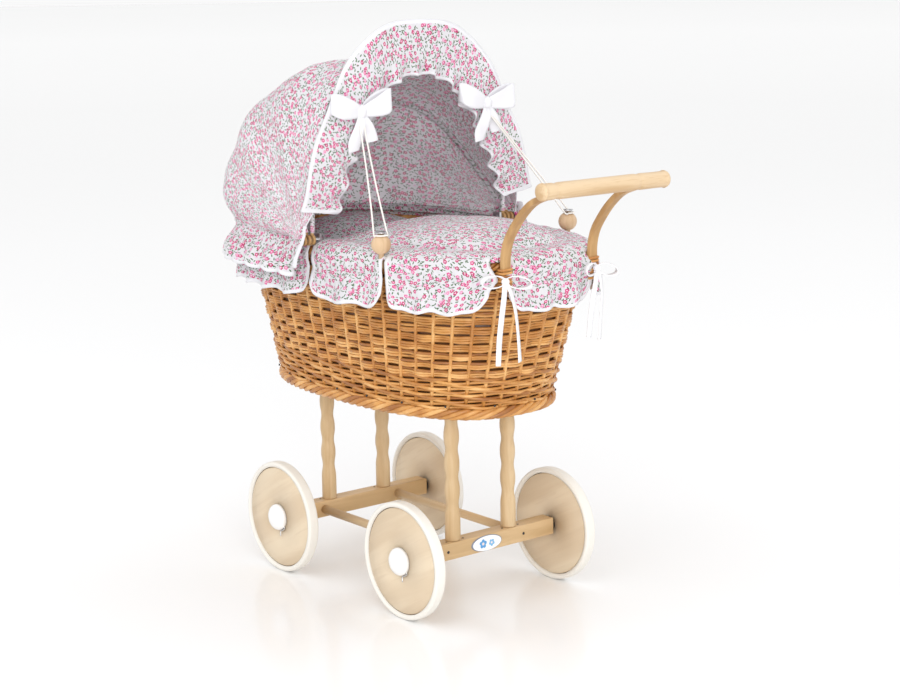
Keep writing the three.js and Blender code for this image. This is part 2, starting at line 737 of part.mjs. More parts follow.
// The flat brim: a crescent between two arches, standing upright across the stroller.
function brim() {
  const arch = (share, foot, halfWidth, rise, power) => {
    const sideways = Math.cos(share * Math.PI);
    return [halfWidth * sideways, foot + rise * (1 - Math.abs(sideways) ** power)];
  };
  const back = hoodPivotForward + brimForward;
  const sections = [];
  for (let i = 0; i <= 28; i += 1) {
    const outer = arch(i / 28, brimOuterFoot, brimOuterHalfWidth, brimOuterRise, brimOuterPower);
    const inner = arch(i / 28, brimInnerFoot, brimInnerHalfWidth, brimInnerRise, brimInnerPower);
    sections.push([
      new THREE.Vector3(back, ...inner), new THREE.Vector3(back, ...outer),
      new THREE.Vector3(back + brimThickness, ...outer), new THREE.Vector3(back + brimThickness, ...inner),
    ]);
  }
  return loft(sections);
}

// A ribbon bow: two loops that narrow to a knot, with two short tails.
function bow(side) {
  const half = bowSpan / 2;
  const outline = new THREE.Shape([
    new THREE.Vector2(-half, 13), new THREE.Vector2(-half, -13), new THREE.Vector2(-6, -5),
    new THREE.Vector2(-14, -44), new THREE.Vector2(0, -44), new THREE.Vector2(4, -6),
    new THREE.Vector2(half, -15), new THREE.Vector2(half, 13), new THREE.Vector2(4, 5),
    new THREE.Vector2(-6, 5),
  ]);
  const geometry = new THREE.ExtrudeGeometry(outline, { depth: bowThickness, bevelEnabled: false });
  geometry.rotateX(Math.PI / 2).rotateZ(Math.PI / 2);
  return geometry.translate(brimFront + gap, side * bowSide, bowHeight);
}

// A doubled elastic: from the bow, round the neck under the knob's cup, and back to the bow.
function elasticRoute(side) {
  const neck = new THREE.Vector3(knobForward, side * knobSide(), knobCentre + knobCrown + gap);
  const start = new THREE.Vector3(brimFront + bowThickness + 3, side * bowSide, bowHeight - 6);
  const toBow = new THREE.Vector3().subVectors(start, neck).setZ(0).normalize();
  const across = new THREE.Vector3(-toBow.y, toBow.x, 0);
  const down = [];
  const back = [];
  for (let i = 0; i <= 7; i += 1) {
    const share = i / 7;
    const middle = new THREE.Vector3().lerpVectors(start, neck, share);
    const spread = THREE.MathUtils.lerp(2.5, elasticLoop, share ** 2);
    down.push(middle.clone().addScaledVector(across, spread));
    back.unshift(middle.clone().addScaledVector(across, -spread));
  }
  const round = [];
  for (let i = 1; i < 6; i += 1) {
    const angle = (i * Math.PI) / 6;
    const point = neck.clone().addScaledVector(across, elasticLoop * Math.cos(angle));
    round.push(point.addScaledVector(toBow, -elasticLoop * Math.sin(angle)));
  }
  return [...down, ...round, ...back];
}

// The gathered frill round the head end, below the rear hood panel.
function flounce() {
  const hem = rimBorderTop - flounceDrop;
  const profile = [
    [coverOuter + flounceClear + flounceFlare, hem], [coverOuter + flounceClear, rimBorderBottom],
    [coverOuter + flounceClear, coverTop], [coverOuter + flounceClear + flounceThickness, coverTop],
    [coverOuter + flounceClear + flounceThickness, rimBorderBottom],
    [coverOuter + flounceClear + flounceFlare + flounceThickness, hem],
  ];
  const start = angleAt(hoodPivotForward - flounceStart);
  return bandPiece(profile, start, 2 * Math.PI - start, 28);
}

function addHood() {
  for (const panel of hoodPanels) {
    addPiece(`hood_${panel.name}_panel`, 'print', hoodPanel(panel));
    addPiece(`hood_${panel.name}_hoop`, 'bentWood', hoop(panel));
  }
  addPiece('hood_brim', 'print', brim());
  addPiece('hood_flounce', 'print', flounce());
  const rimMiddle = basketRimWidth / 2 + rimBorderOffset;
  const bracketBottom = rimBorderTop + gap;
  const bracketTop = hoodPivotHeight + bracketWidth / 2 + 1;
  const pinHead = frontPanelHalfWidth + 2 * hoodNesting + hoopEyeThickness / 2 + 2 * gap;
  const pinStart = rimMiddle - bracketThickness / 2 - 1;
  for (const [sideName, side] of sides) {
    const middle = side * rimMiddle;
    const height = bracketTop - bracketBottom;
    const centre = bracketBottom + height / 2;
    const plate = box(bracketWidth, bracketThickness, height, hoodPivotForward, middle, centre);
    const bore = hoodRod(hoodPinRadius + gap, 4 * bracketThickness, middle);
    addPiece(`${sideName}_hood_bracket`, 'steel', cut(plate, bore));
    const pin = [
      [0, pinStart], [hoodPinRadius, pinStart], [hoodPinRadius, pinHead], [6, pinHead],
      [5, pinHead + 3], [0, pinHead + 3],
    ];
    const turned = turnedSideways(pin, 16, 0, side);
    turned.translate(hoodPivotForward, 0, hoodPivotHeight - axleHeight);
    addPiece(`${sideName}_hood_pin`, 'steel', turned);
    addPiece(`${sideName}_bow`, 'satin', bow(side));
    addPiece(`${sideName}_elastic`, 'elastic', tube(elasticRoute(side), elasticRadius, 8, 40));
  }
}

// ---- Tape ties below the handle arms ----
function addTies() {
  const rimAtArm = endAt((armSpacing - armWidth) / 2, rimOuter, basketRimHeight);
  const front = rimAtArm + armClear + 4 * gap + armThickness + tieStandOff;
  const outline = new THREE.Shape([
    new THREE.Vector2(-3, 8), new THREE.Vector2(-tieSpread - tapeWidth, -tieDrop + 4),
    new THREE.Vector2(-tieSpread, -tieDrop + 4), new THREE.Vector2(0, -12),
    new THREE.Vector2(tieSpread, -tieDrop), new THREE.Vector2(tieSpread + tapeWidth, -tieDrop),
    new THREE.Vector2(3, 8),
  ]);
  for (const [sideName, side] of sides) {
    const tie = new THREE.ExtrudeGeometry(outline, { depth: tapeThickness, bevelEnabled: false });
    tie.rotateX(Math.PI / 2).rotateZ(Math.PI / 2);
    tie.translate(front, side * (armSpacing / 2 + tieOffset), tieHeight);
    addPiece(`${sideName}_tape_tie`, 'satin', tie);
  }
}

addUndercarriage();
addBasket();
addHandle();
addKnobs();
addSkirt();
addBedding();
addHood();
addTies();

// Origin: middle of the overall length and width, on the floor under the tyres.
const bounds = new THREE.Box3().setFromObject(stroller);
stroller.position.set(-(bounds.min.x + bounds.max.x) / 2, 0, 0);

export default stroller;
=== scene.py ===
from math import asin, atan2, cos, exp, pi, radians, sin, sqrt

import bmesh
import bpy
from mathutils import Matrix, Vector, noise
from mathutils.bvhtree import BVHTree


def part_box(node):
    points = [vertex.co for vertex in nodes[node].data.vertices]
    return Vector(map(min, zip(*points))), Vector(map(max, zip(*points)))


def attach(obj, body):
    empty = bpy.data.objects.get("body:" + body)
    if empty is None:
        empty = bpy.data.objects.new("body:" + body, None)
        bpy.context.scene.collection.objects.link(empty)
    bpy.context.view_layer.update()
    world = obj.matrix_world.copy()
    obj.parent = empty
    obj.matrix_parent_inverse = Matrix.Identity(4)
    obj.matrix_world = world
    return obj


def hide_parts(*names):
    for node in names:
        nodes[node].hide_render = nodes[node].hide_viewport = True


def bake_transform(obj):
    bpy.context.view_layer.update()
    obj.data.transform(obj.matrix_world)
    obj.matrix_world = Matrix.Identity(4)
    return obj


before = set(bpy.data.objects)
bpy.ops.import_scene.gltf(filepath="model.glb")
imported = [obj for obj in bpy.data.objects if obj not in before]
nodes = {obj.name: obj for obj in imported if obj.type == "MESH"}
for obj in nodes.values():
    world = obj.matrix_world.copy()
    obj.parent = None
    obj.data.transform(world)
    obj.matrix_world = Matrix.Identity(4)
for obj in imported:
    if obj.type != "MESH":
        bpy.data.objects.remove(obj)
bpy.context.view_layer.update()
scene = bpy.context.scene
mm = 0.001
sides = [("left", -1), ("right", 1)]
ends = [("front", -1), ("rear", 1)]


def middleOf(node):
    low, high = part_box(node)
    return (low + high) / 2


pivot = middleOf("left_hood_pin")
pivot.y = 0
wallLow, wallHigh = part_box("basket_wall")
knobs = {side: middleOf(side + "_hood_knob") for side, _ in sides}
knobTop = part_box("left_hood_knob")[1].z


# A place in millimetres from the hood's pivot line along X, the middle across, and the floor
def at(x, y, z):
    return Vector((pivot.x + x * mm, y * mm, z * mm))


def mix(a, b, share):
    return a + (b - a) * share


def smooth(share):
    share = min(max(share, 0), 1)
    return share * share * (3 - 2 * share)


def wobble(x, y=0.0, z=0.0):
    return noise.noise(Vector((x, y, z)))


# Reads a value off a few (place, value) pairs, with soft bends between them
def between(stops, place):
    if place <= stops[0][0]:
        return stops[0][1]
    for (a, low), (b, high) in zip(stops, stops[1:]):
        if place <= b:
            return mix(low, high, smooth((place - a) / (b - a)) * 0.5 + (place - a) / (b - a) * 0.5)
    return stops[-1][1]


# ---- camera and light
view = {
    "place": (1781.6, -1381.1, 720.1),   # mm
    "turn": 51.10, "tilt": 11.13, "roll": -0.91,   # degrees
    "lens": 77.0,
}


def setCamera():
    camera = bpy.data.cameras.new("camera")
    camera.lens = view["lens"]
    camera.sensor_width = 36
    camera.clip_end = 50
    turn, tilt, roll = (radians(view[k]) for k in ("turn", "tilt", "roll"))
    back = Vector((sin(turn) * cos(tilt), -cos(turn) * cos(tilt), sin(tilt)))
    right = Vector((0, 0, 1)).cross(back).normalized()
    up = back.cross(right)
    right, up = right * cos(roll) + up * sin(roll), up * cos(roll) - right * sin(roll)
    obj = bpy.data.objects.new("camera", camera)
    scene.collection.objects.link(obj)
    matrix = Matrix((right, up, back)).transposed().to_4x4()
    matrix.translation = at(*view["place"])
    obj.matrix_world = matrix
    scene.camera = obj


studio = {
    "lights": [   # place in m, size in m, power in W
        ((2.6, -1.5, 0.95), 1.3, 34),
        ((1.2, -2.6, 3.0), 2.0, 16),
        ((-2.4, -2.4, 2.2), 2.4, 14),
        ((0.6, 2.8, 2.8), 2.2, 12),
    ],
    "world": 0.95, "floor": (0.93, 0.93, 0.935), "floorGloss": 0.16,
}


def setStudio():
    for place, size, power in studio["lights"]:
        lamp = bpy.data.lights.new("softbox", "AREA")
        lamp.size, lamp.energy = size, power
        obj = bpy.data.objects.new("softbox", lamp)
        obj.location = place
        obj.rotation_euler = (Vector(place) - Vector((0, 0, 0.3))).to_track_quat("Z", "Y").to_euler()
        scene.collection.objects.link(obj)
    world = bpy.data.worlds.new("studio")
    world.use_nodes = True
    world.node_tree.nodes["Background"].inputs["Color"].default_value = (1, 1, 1, 1)
    world.node_tree.nodes["Background"].inputs["Strength"].default_value = studio["world"]
    scene.world = world
    scene.view_settings.view_transform = "Standard"
    bm = bmesh.new()
    bmesh.ops.create_grid(bm, x_segments=1, y_segments=1, size=60)
    floor = meshObject("floor", bm, [plain("studioFloor", studio["floor"], studio["floorGloss"], specular=0.3)])


# ---- nodes and materials
class Tree:
    def __init__(self, tree):
        self.tree = tree

    def node(self, kind, settings=None, **inputs):
        made = self.tree.nodes.new(kind)
        for name, value in (settings or {}).items():
            setattr(made, name, value)
        for name, value in inputs.items():
            key = int(name[1:]) if name[1:].isdigit() else name.replace("_", " ")
            self.feed(made.inputs[key], value)
        return made

    def feed(self, socket, value):
        if isinstance(value, bpy.types.NodeSocket):
            self.tree.links.new(value, socket)
        else:
            socket.default_value = value

    def math(self, operation, *values):
        made = self.tree.nodes.new("ShaderNodeMath")
        made.operation = operation
        for socket, value in zip(made.inputs, values):
            self.feed(socket, value)
        return made.outputs[0]

    def vector(self, operation, *values):
        made = self.tree.nodes.new("ShaderNodeVectorMath")
        made.operation = operation
        for socket, value in zip(made.inputs, values):
            self.feed(socket, value)
        return made.outputs["Value" if operation in ("LENGTH", "DOT_PRODUCT") else "Vector"]

    def blend(self, share, a, b, mode="MIX"):
        made = self.tree.nodes.new("ShaderNodeMix")
        made.data_type, made.blend_type = "RGBA", mode
        for socket, value in zip((made.inputs[0], made.inputs[6], made.inputs[7]), (share, a, b)):
            self.feed(socket, value)
        return made.outputs[2]

    def edge(self, value, low, high):   # 1 below low, 0 above high, soft between
        made = self.node("ShaderNodeMapRange", {"interpolation_type": "SMOOTHSTEP"}, i1=low, i2=high, i3=1.0, i4=0.0)
        self.feed(made.inputs[0], value)
        return made.outputs[0]


def newGroup(name, inputs, outputs):
    group = bpy.data.node_groups.new(name, "ShaderNodeTree")
    for label, kind, value in inputs:
        socket = group.interface.new_socket(label, in_out="INPUT", socket_type=kind)
        if value is not None:
            socket.default_value = value
    for label, kind in outputs:
        group.interface.new_socket(label, in_out="OUTPUT", socket_type=kind)
    tree = Tree(group)
    return group, tree, tree.node("NodeGroupInput").outputs, tree.node("NodeGroupOutput").inputs


def rgb(r, g, b):
    return (r, g, b, 1)


printLook = {   # sizes in mm
    "ground": rgb(0.77, 0.755, 0.785),
    "pinks": [(0.0, rgb(0.50, 0.006, 0.12)), (0.4, rgb(0.66, 0.015, 0.19)), (0.75, rgb(0.80, 0.10, 0.34)),
              (1.0, rgb(0.82, 0.33, 0.55))],
    "leaf": rgb(0.025, 0.115, 0.022),
    "flowerPitch": 6.9, "flowerSize": 2.15, "leafPitch": 4.1, "budPitch": 7.4,
}


# Small ring flowers, buds and leaf strokes scattered on a pale ground
def makePrintGroup():
    group, tree, given, out = newGroup(
        "smallFlowers", [("Vector", "NodeSocketVector", None)], [("Color", "NodeSocketColor")])
    look = printLook

    def cells(pitch, shift):
        moved = tree.vector("ADD", given["Vector"], shift)
        voronoi = tree.node("ShaderNodeTexVoronoi", {"voronoi_dimensions": "2D"}, Scale=1 / (pitch * mm))
        tree.feed(voronoi.inputs["Vector"], moved)
        local = tree.vector("SUBTRACT", moved, voronoi.outputs["Position"])
        chance = tree.node("ShaderNodeSeparateColor", Color=voronoi.outputs["Color"])
        return local, chance.outputs

    def flat(local):
        parts = tree.node("ShaderNodeSeparateXYZ", Vector=local).outputs
        return tree.node("ShaderNodeCombineXYZ", X=parts[0], Y=parts[1], Z=0.0).outputs[0], parts

    def strokes(colour, pitch, shift, long, wide, share, ink):
        local, chance = cells(pitch, shift)
        local, _ = flat(local)
        angle = tree.math("MULTIPLY", chance[0], 2 * pi)
        turned = tree.node("ShaderNodeVectorRotate", {"rotation_type": "Z_AXIS"}, Vector=local, Angle=angle)
        scaled = tree.vector("MULTIPLY", turned.outputs[0], (1 / (long * mm), 1 / (wide * mm), 0))
        mask = tree.edge(tree.vector("LENGTH", scaled), 0.75, 1.15)
        there = tree.math("LESS_THAN", chance[1], share)
        return tree.blend(tree.math("MULTIPLY", mask, there), colour, ink)

    colour = look["ground"]
    colour = strokes(colour, look["budPitch"], (0.31, 0.17, 0), 1.5, 1.1, 0.32, rgb(0.82, 0.50, 0.68))
    colour = strokes(colour, look["leafPitch"], (0.11, 0.27, 0), 1.75, 0.62, 0.74, look["leaf"])
    colour = strokes(colour, look["leafPitch"] * 1.2, (0.57, 0.43, 0), 1.5, 0.5, 0.66, rgb(0.08, 0.17, 0.06))
    for shift, share, size in (((0, 0, 0), 0.55, 1.0), ((0.731, 0.377, 0), 0.34, 0.85)):
        local, chance = cells(look["flowerPitch"], shift)
        local, parts = flat(local)
        spin = tree.math("MULTIPLY", tree.math("ARCTAN2", parts[1], parts[0]), 5.0)
        petals = tree.math("ADD", tree.math("MULTIPLY", tree.math("COSINE", spin), 0.12), 1.0)
        reach = tree.math("MULTIPLY", petals, look["flowerSize"] * size * mm)
        radius = tree.math("DIVIDE", tree.vector("LENGTH", local), reach)
        ramp = tree.node("ShaderNodeValToRGB")
        while len(ramp.color_ramp.elements) < len(look["pinks"]):
            ramp.color_ramp.elements.new(0.5)
        for element, (place, pink) in zip(ramp.color_ramp.elements, look["pinks"]):
            element.position, element.color = place, pink
        tree.feed(ramp.inputs[0], chance[0])
        there = tree.math("LESS_THAN", chance[1], share)
        petalMask = tree.math("MULTIPLY", tree.edge(radius, 0.82, 1.05), there)
        heart = tree.math("MULTIPLY", tree.edge(radius, 0.28, 0.46), there)
        colour = tree.blend(petalMask, colour, ramp.outputs[0])
        colour = tree.blend(heart, colour, rgb(0.85, 0.66, 0.74))
    tree.feed(out["Color"], colour)
    return group


# Fine thread relief and soft creases
def makeWeaveGroup():
    group, tree, given, out = newGroup(
        "clothWeave", [("Vector", "NodeSocketVector", None), ("Threads", "NodeSocketFloat", 1800.0),
                       ("Creases", "NodeSocketFloat", 45.0)], [("Height", "NodeSocketFloat")])
    waves = []
    for direction in ("X", "Y"):
        wave = tree.node("ShaderNodeTexWave", {"bands_direction": direction}, Vector=given["Vector"],
                         Scale=given["Threads"])
        waves.append(wave.outputs["Fac"])
    thread = tree.math("MULTIPLY", tree.math("ADD", *waves), 0.05)
    crease = tree.node("ShaderNodeTexNoise", Vector=given["Vector"], Scale=given["Creases"], Detail=3.0)
    tree.feed(out["Height"], tree.math("ADD", thread, crease.outputs["Fac"]))
    return group


# Long wood grain along X of the vector, with pores
def makeGrainGroup():
    group, tree, given, out = newGroup(
        "woodGrain", [("Vector", "NodeSocketVector", None), ("Light", "NodeSocketColor", rgb(0.8, 0.65, 0.45)),
                      ("Dark", "NodeSocketColor", rgb(0.6, 0.42, 0.25)), ("Scale", "NodeSocketFloat", 60.0)],
        [("Color", "NodeSocketColor"), ("Height", "NodeSocketFloat")])
    long = tree.vector("MULTIPLY", given["Vector"], (0.09, 1.0, 1.0))
    figure = tree.node("ShaderNodeTexNoise", Vector=long, Scale=given["Scale"], Detail=5.0, Distortion=0.6)
    finer = tree.math("MULTIPLY", given["Scale"], 7.0)
    pores = tree.node("ShaderNodeTexNoise", Vector=long, Scale=finer, Detail=2.0)
    share = tree.edge(figure.outputs["Fac"], 0.36, 0.66)
    colour = tree.blend(share, given["Light"], given["Dark"])
    poreMask = tree.math("MULTIPLY", tree.edge(pores.outputs["Fac"], 0.33, 0.43), 0.35)
    tree.feed(out["Color"], tree.blend(poreMask, colour, given["Dark"]))
    tree.feed(out["Height"], pores.outputs["Fac"])
    return group


groups = {"print": makePrintGroup(), "weave": makeWeaveGroup(), "grain": makeGrainGroup()}


def newMaterial(name, roughness, **uniform):
    material = bpy.data.materials.new(name)
    material.use_nodes = True
    tree = Tree(material.node_tree)
    shader = material.node_tree.nodes["Principled BSDF"]
    shader.inputs["Roughness"].default_value = roughness
    for label, value in uniform.items():
        shader.inputs[label.replace("_", " ")].default_value = value
    return material, tree, shader


def plain(name, colour, roughness, metallic=0.0, specular=0.5):
    material, _, shader = newMaterial(name, roughness, Metallic=metallic, Specular_IOR_Level=specular)
    shader.inputs["Base Color"].default_value = rgb(*colour)
    return material


def placeGroup(tree, name, **inputs):
    made = tree.node("ShaderNodeGroup")
    made.node_tree = groups[name]
    for label, value in inputs.items():
        tree.feed(made.inputs[label], value)
    return made.outputs


def relief(tree, shader, height, depth, strength=1.0):
    bump = tree.node("ShaderNodeBump", Strength=strength, Distance=depth, Height=height)
    tree.feed(shader.inputs["Normal"], bump.outputs[0])


# Cotton cloth: source is "UV" on sheets and "Object" on pads; wrong is the paler inner side of the print
def makeCloth(name, source, printed=True, wrong=False, colour=rgb(0.88, 0.88, 0.90), depth=0.0012, creases=45.0,
              turn=None):
    material, tree, shader = newMaterial(name, 0.85, Sheen_Weight=0.15, Specular_IOR_Level=0.25)
    if wrong:   # daylight comes through the thin cotton
        shader.inputs["Subsurface Weight"].default_value = 0.85
        shader.inputs["Subsurface Radius"].default_value = (1, 1, 1)
        shader.inputs["Subsurface Scale"].default_value = 0.0022
    coordinates = tree.node("ShaderNodeTexCoord").outputs[source]
    if turn:
        coordinates = tree.node("ShaderNodeMapping", Vector=coordinates, Rotation=turn).outputs[0]
    if printed:
        cloth = placeGroup(tree, "print", Vector=coordinates)["Color"]
        if wrong:
            cloth = tree.blend(0.25, cloth, rgb(0.96, 0.95, 0.97))
        tree.feed(shader.inputs["Base Color"], cloth)
    else:
        shader.inputs["Base Color"].default_value = colour
    weave = placeGroup(tree, "weave", Vector=coordinates, Creases=creases)
    relief(tree, shader, weave["Height"], depth)
    return material


def makeWood(name, light, dark, scale, turn=(0, 0, 0), roughness=0.5, tilt=0.0):
    material, tree, shader = newMaterial(name, roughness, Coat_Weight=0.08, Coat_Roughness=0.35)
    coordinates = tree.node("ShaderNodeTexCoord").outputs["Object"]
    turned = tree.node("ShaderNodeMapping", Vector=coordinates, Rotation=turn, Location=(tilt, 0, 0))
    grain = placeGroup(tree, "grain", Vector=turned.outputs[0], Light=light, Dark=dark, Scale=scale)
    tree.feed(shader.inputs["Base Color"], grain["Color"])
    relief(tree, shader, grain["Height"], 0.0002, 0.4)
    return material


def makeWicker(name, light, dark):
    material, tree, shader = newMaterial(name, 0.42, Coat_Weight=0.2, Coat_Roughness=0.3)
    coordinates = tree.node("ShaderNodeTexCoord").outputs["Object"]
    blotch = tree.node("ShaderNodeTexNoise", Vector=coordinates, Scale=38.0, Detail=4.0)
    fibre = tree.node("ShaderNodeTexNoise", Scale=300.0, Detail=2.0,
                      Vector=tree.vector("MULTIPLY", coordinates, (0.3, 0.3, 3.0)))
    colour = tree.blend(tree.edge(blotch.outputs["Fac"], 0.35, 0.68), light, dark)
    colour = tree.blend(tree.math("MULTIPLY", tree.edge(fibre.outputs["Fac"], 0.3, 0.5), 0.3), colour, dark)
    tree.feed(shader.inputs["Base Color"], colour)
    relief(tree, shader, fibre.outputs["Fac"], 0.0003, 0.5)
    return material


along = {"x": (0, 0, 0), "y": (0, 0, radians(-90)), "z": (0, radians(90), 0)}
paint = {
    "print": makeCloth("flowerCotton", "UV"),
    "wrong": makeCloth("flowerCottonWrongSide", "UV", wrong=True),
    "casing": makeCloth("flowerCottonCasing", "Object", wrong=True, turn=(0, radians(90), 0)),
    "padPrint": makeCloth("flowerCottonPads", "Object", depth=0.002, creases=32.0),
    "binding": makeCloth("whiteBinding", "UV", printed=False, colour=rgb(0.80, 0.80, 0.83), depth=0.0006),
    "linen": makeCloth("plainCotton", "Object", printed=False, colour=rgb(0.84, 0.83, 0.84)),
    "tape": makeCloth("twillTape", "Object", printed=False, depth=0.0003, creases=200.0),
    "beam": makeWood("beechAcross", rgb(0.66, 0.46, 0.25), rgb(0.53, 0.35, 0.17), 55, along["y"]),
    "stretcher": makeWood("beechAlong", rgb(0.70, 0.52, 0.31), rgb(0.58, 0.40, 0.22), 70, along["x"]),
    "post": makeWood("beechUpright", rgb(0.70, 0.52, 0.31), rgb(0.58, 0.40, 0.21), 65, along["z"]),
    "bar": makeWood("beechBar", rgb(0.72, 0.54, 0.34), rgb(0.56, 0.37, 0.19), 60, along["y"]),
    "arm": makeWood("bentWillow", rgb(0.54, 0.32, 0.13), rgb(0.40, 0.22, 0.08), 60, along["z"]),
    "knob": makeWood("beechKnob", rgb(0.68, 0.48, 0.30), rgb(0.56, 0.37, 0.20), 70, along["z"]),
    "wheel": makeWood("limeWheel", rgb(0.76, 0.63, 0.46), rgb(0.66, 0.52, 0.36), 34, (0, radians(28), 0)),
    "board": makeWood("bottomPly", rgb(0.62, 0.46, 0.28), rgb(0.5, 0.35, 0.2), 40),
    "wickerLight": makeWicker("willowLight", rgb(0.80, 0.46, 0.17), rgb(0.60, 0.27, 0.065)),
    "wickerMid": makeWicker("willowMid", rgb(0.68, 0.34, 0.095), rgb(0.47, 0.19, 0.04)),
    "wickerDark": makeWicker("willowDark", rgb(0.50, 0.215, 0.05), rgb(0.33, 0.12, 0.027)),
    # willowShade is painted shade: a near-black willow colour for what shows through the gaps of the weave
    "wickerGapPaintedShade": makeWicker("willowShade", rgb(0.17, 0.068, 0.02), rgb(0.10, 0.038, 0.012)),
    "tyre": plain("offWhiteRubber", (0.84, 0.81, 0.75), 0.6),
    "seam": plain("glueLine", (0.10, 0.06, 0.03), 0.8),
    "plastic": plain("hubPlastic", (0.90, 0.90, 0.90), 0.18),
    "steel": plain("zincSteel", (0.62, 0.62, 0.63), 0.28, metallic=1.0),
    "iron": plain("blackIron", (0.06, 0.06, 0.065), 0.45, metallic=0.8),
    "satin": plain("satinRibbon", (0.80, 0.80, 0.83), 0.32, specular=0.6),
    "elastic": plain("elasticBraid", (0.86, 0.83, 0.78), 0.7),
}
wickerTones = [paint["wickerLight"], paint["wickerMid"], paint["wickerDark"]]
print("materials made")


# ---- making pieces
def meshObject(name, bm, materials, shadeSmooth=True):
    mesh = bpy.data.meshes.new(name)
    bm.to_mesh(mesh)
    bm.free()
    for material in materials:
        mesh.materials.append(material)
    mesh.polygons.foreach_set("use_smooth", [shadeSmooth] * len(mesh.polygons))
    obj = bpy.data.objects.new(name, mesh)
    scene.collection.objects.link(obj)
    return obj


def finished(obj, body, slot, *replaced):
    if body:
        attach(obj, body)
    if replaced:
        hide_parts(*replaced)
    return obj


def thicken(obj, thickness, innerSlot=0, offset=-1.0):
    wall = obj.modifiers.new("wall", "SOLIDIFY")
    wall.thickness, wall.offset = thickness, offset
    wall.material_offset = innerSlot


def soften(obj, levels=1):
    bends = obj.modifiers.new("soft", "SUBSURF")
    bends.levels = bends.render_levels = levels


def applyAll(obj):
    bpy.context.view_layer.update()
    baked = bpy.data.meshes.new_from_object(obj.evaluated_get(bpy.context.evaluated_depsgraph_get()))
    obj.modifiers.clear()
    old = obj.data
    obj.data = baked
    baked.name = obj.name
    bpy.data.meshes.remove(old)
    return obj


# Turns an outline of (radius, distance) pairs round a line: "z" upright, "y" sideways with the distance to +Y
def turned(name, outline, centre, axis, segments, materials, flip=False):
    bm = bmesh.new()
    verts = [bm.verts.new((radius, 0, distance)) for radius, distance in outline]
    edges = [bm.edges.new(pair) for pair in zip(verts, verts[1:])]
    bmesh.ops.spin(bm, geom=verts + edges, cent=(0, 0, 0), axis=(0, 0, 1), angle=2 * pi, steps=segments,
                   use_merge=True)
    bmesh.ops.remove_doubles(bm, verts=bm.verts, dist=1e-6)
    if axis == "y":
        bmesh.ops.rotate(bm, verts=bm.verts, matrix=Matrix.Rotation(radians(90 if flip else -90), 3, "X"))
    bmesh.ops.translate(bm, verts=bm.verts, vec=centre)
    bmesh.ops.recalc_face_normals(bm, faces=bm.faces)
    return meshObject(name, bm, materials)


# A sheet of cloth: place(u, v) puts each corner of a grid, and stops hold the grid's own divisions from 0 to 1
def sheetGrid(name, columns, rows, place, flat, materials, paintAt=None):
    bm = bmesh.new()
    across, down = len(columns) - 1, len(rows) - 1
    uv = bm.loops.layers.uv.new("UVMap")
    bmesh.ops.create_grid(bm, x_segments=across, y_segments=down, size=0.5)
    cells = {v: (round((v.co.x + 0.5) * across), round((v.co.y + 0.5) * down)) for v in bm.verts}
    for face in bm.faces:
        face.material_index = paintAt(*(min(cells[v][k] for v in face.verts) for k in (0, 1))) if paintAt else 0
        for loop in face.loops:
            i, j = cells[loop.vert]
            loop[uv].uv = (columns[i] * flat[0], rows[j] * flat[1])
    for vert in bm.verts:
        i, j = cells[vert]
        vert.co = place(columns[i], rows[j])
    return meshObject(name, bm, materials)


# Divisions from 0 to 1 with a narrow band of the given share at either end
def stops(count, first=0.0, last=0.0):
    inner = [mix(first, 1 - last, i / count) for i in range(count + 1)]
    return ([0.0] if first else []) + inner + ([1.0] if last else [])


# Rods that follow lists of points, as one mesh; each path is (points, radius, tone)
def rods(name, paths, materials, cyclic=False, roundness=1):
    curve = bpy.data.curves.new(name, "CURVE")
    curve.dimensions = "3D"
    curve.bevel_depth = 1.0
    curve.bevel_resolution = roundness
    curve.use_fill_caps = True
    for material in materials:
        curve.materials.append(material)
    for points, radius, tone in paths:
        spline = curve.splines.new("POLY")
        spline.points.add(len(points) - 1)
        for knot, point in zip(spline.points, points):
            knot.co = (*point, 1)
            knot.radius = radius
        spline.use_cyclic_u = cyclic
        spline.use_smooth = True
        spline.material_index = tone
    holder = bpy.data.objects.new(name + "Path", curve)
    scene.collection.objects.link(holder)
    bpy.context.view_layer.update()
    mesh = bpy.data.meshes.new_from_object(holder.evaluated_get(bpy.context.evaluated_depsgraph_get()))
    bpy.data.objects.remove(holder)
    bm = bmesh.new()
    bm.from_mesh(mesh)
    bpy.data.meshes.remove(mesh)
    bmesh.ops.remove_doubles(bm, verts=bm.verts, dist=1e-6)
    return meshObject(name, bm, materials)


setCamera()
setStudio()
print("camera and light set")


# ---- elastics and tape ties
# A smooth line through a few points, with count spans
def route(points, count):
    points = [Vector(p) for p in points]
    line = []
    for i in range(count + 1):
        spot = i / count * (len(points) - 1)
        k = min(int(spot), len(points) - 2)
        s = spot - k
        a, b, c, d = (points[min(max(k + n, 0), len(points) - 1)] for n in (-1, 0, 1, 2))
        line.append(((2 * b) + (c - a) * s + (2 * a - 5 * b + 4 * c - d) * s * s
                     + (3 * b - a - 3 * c + d) * s ** 3) / 2)
    return line


def lengthOf(points):
    return sum((b - a).length for a, b in zip(points, points[1:]))


elastic = {"radius": 0.001, "knobLoop": 7.5, "bowSpread": 2.5, "bow": (30.5, 92, 561)}   # mm but the radius


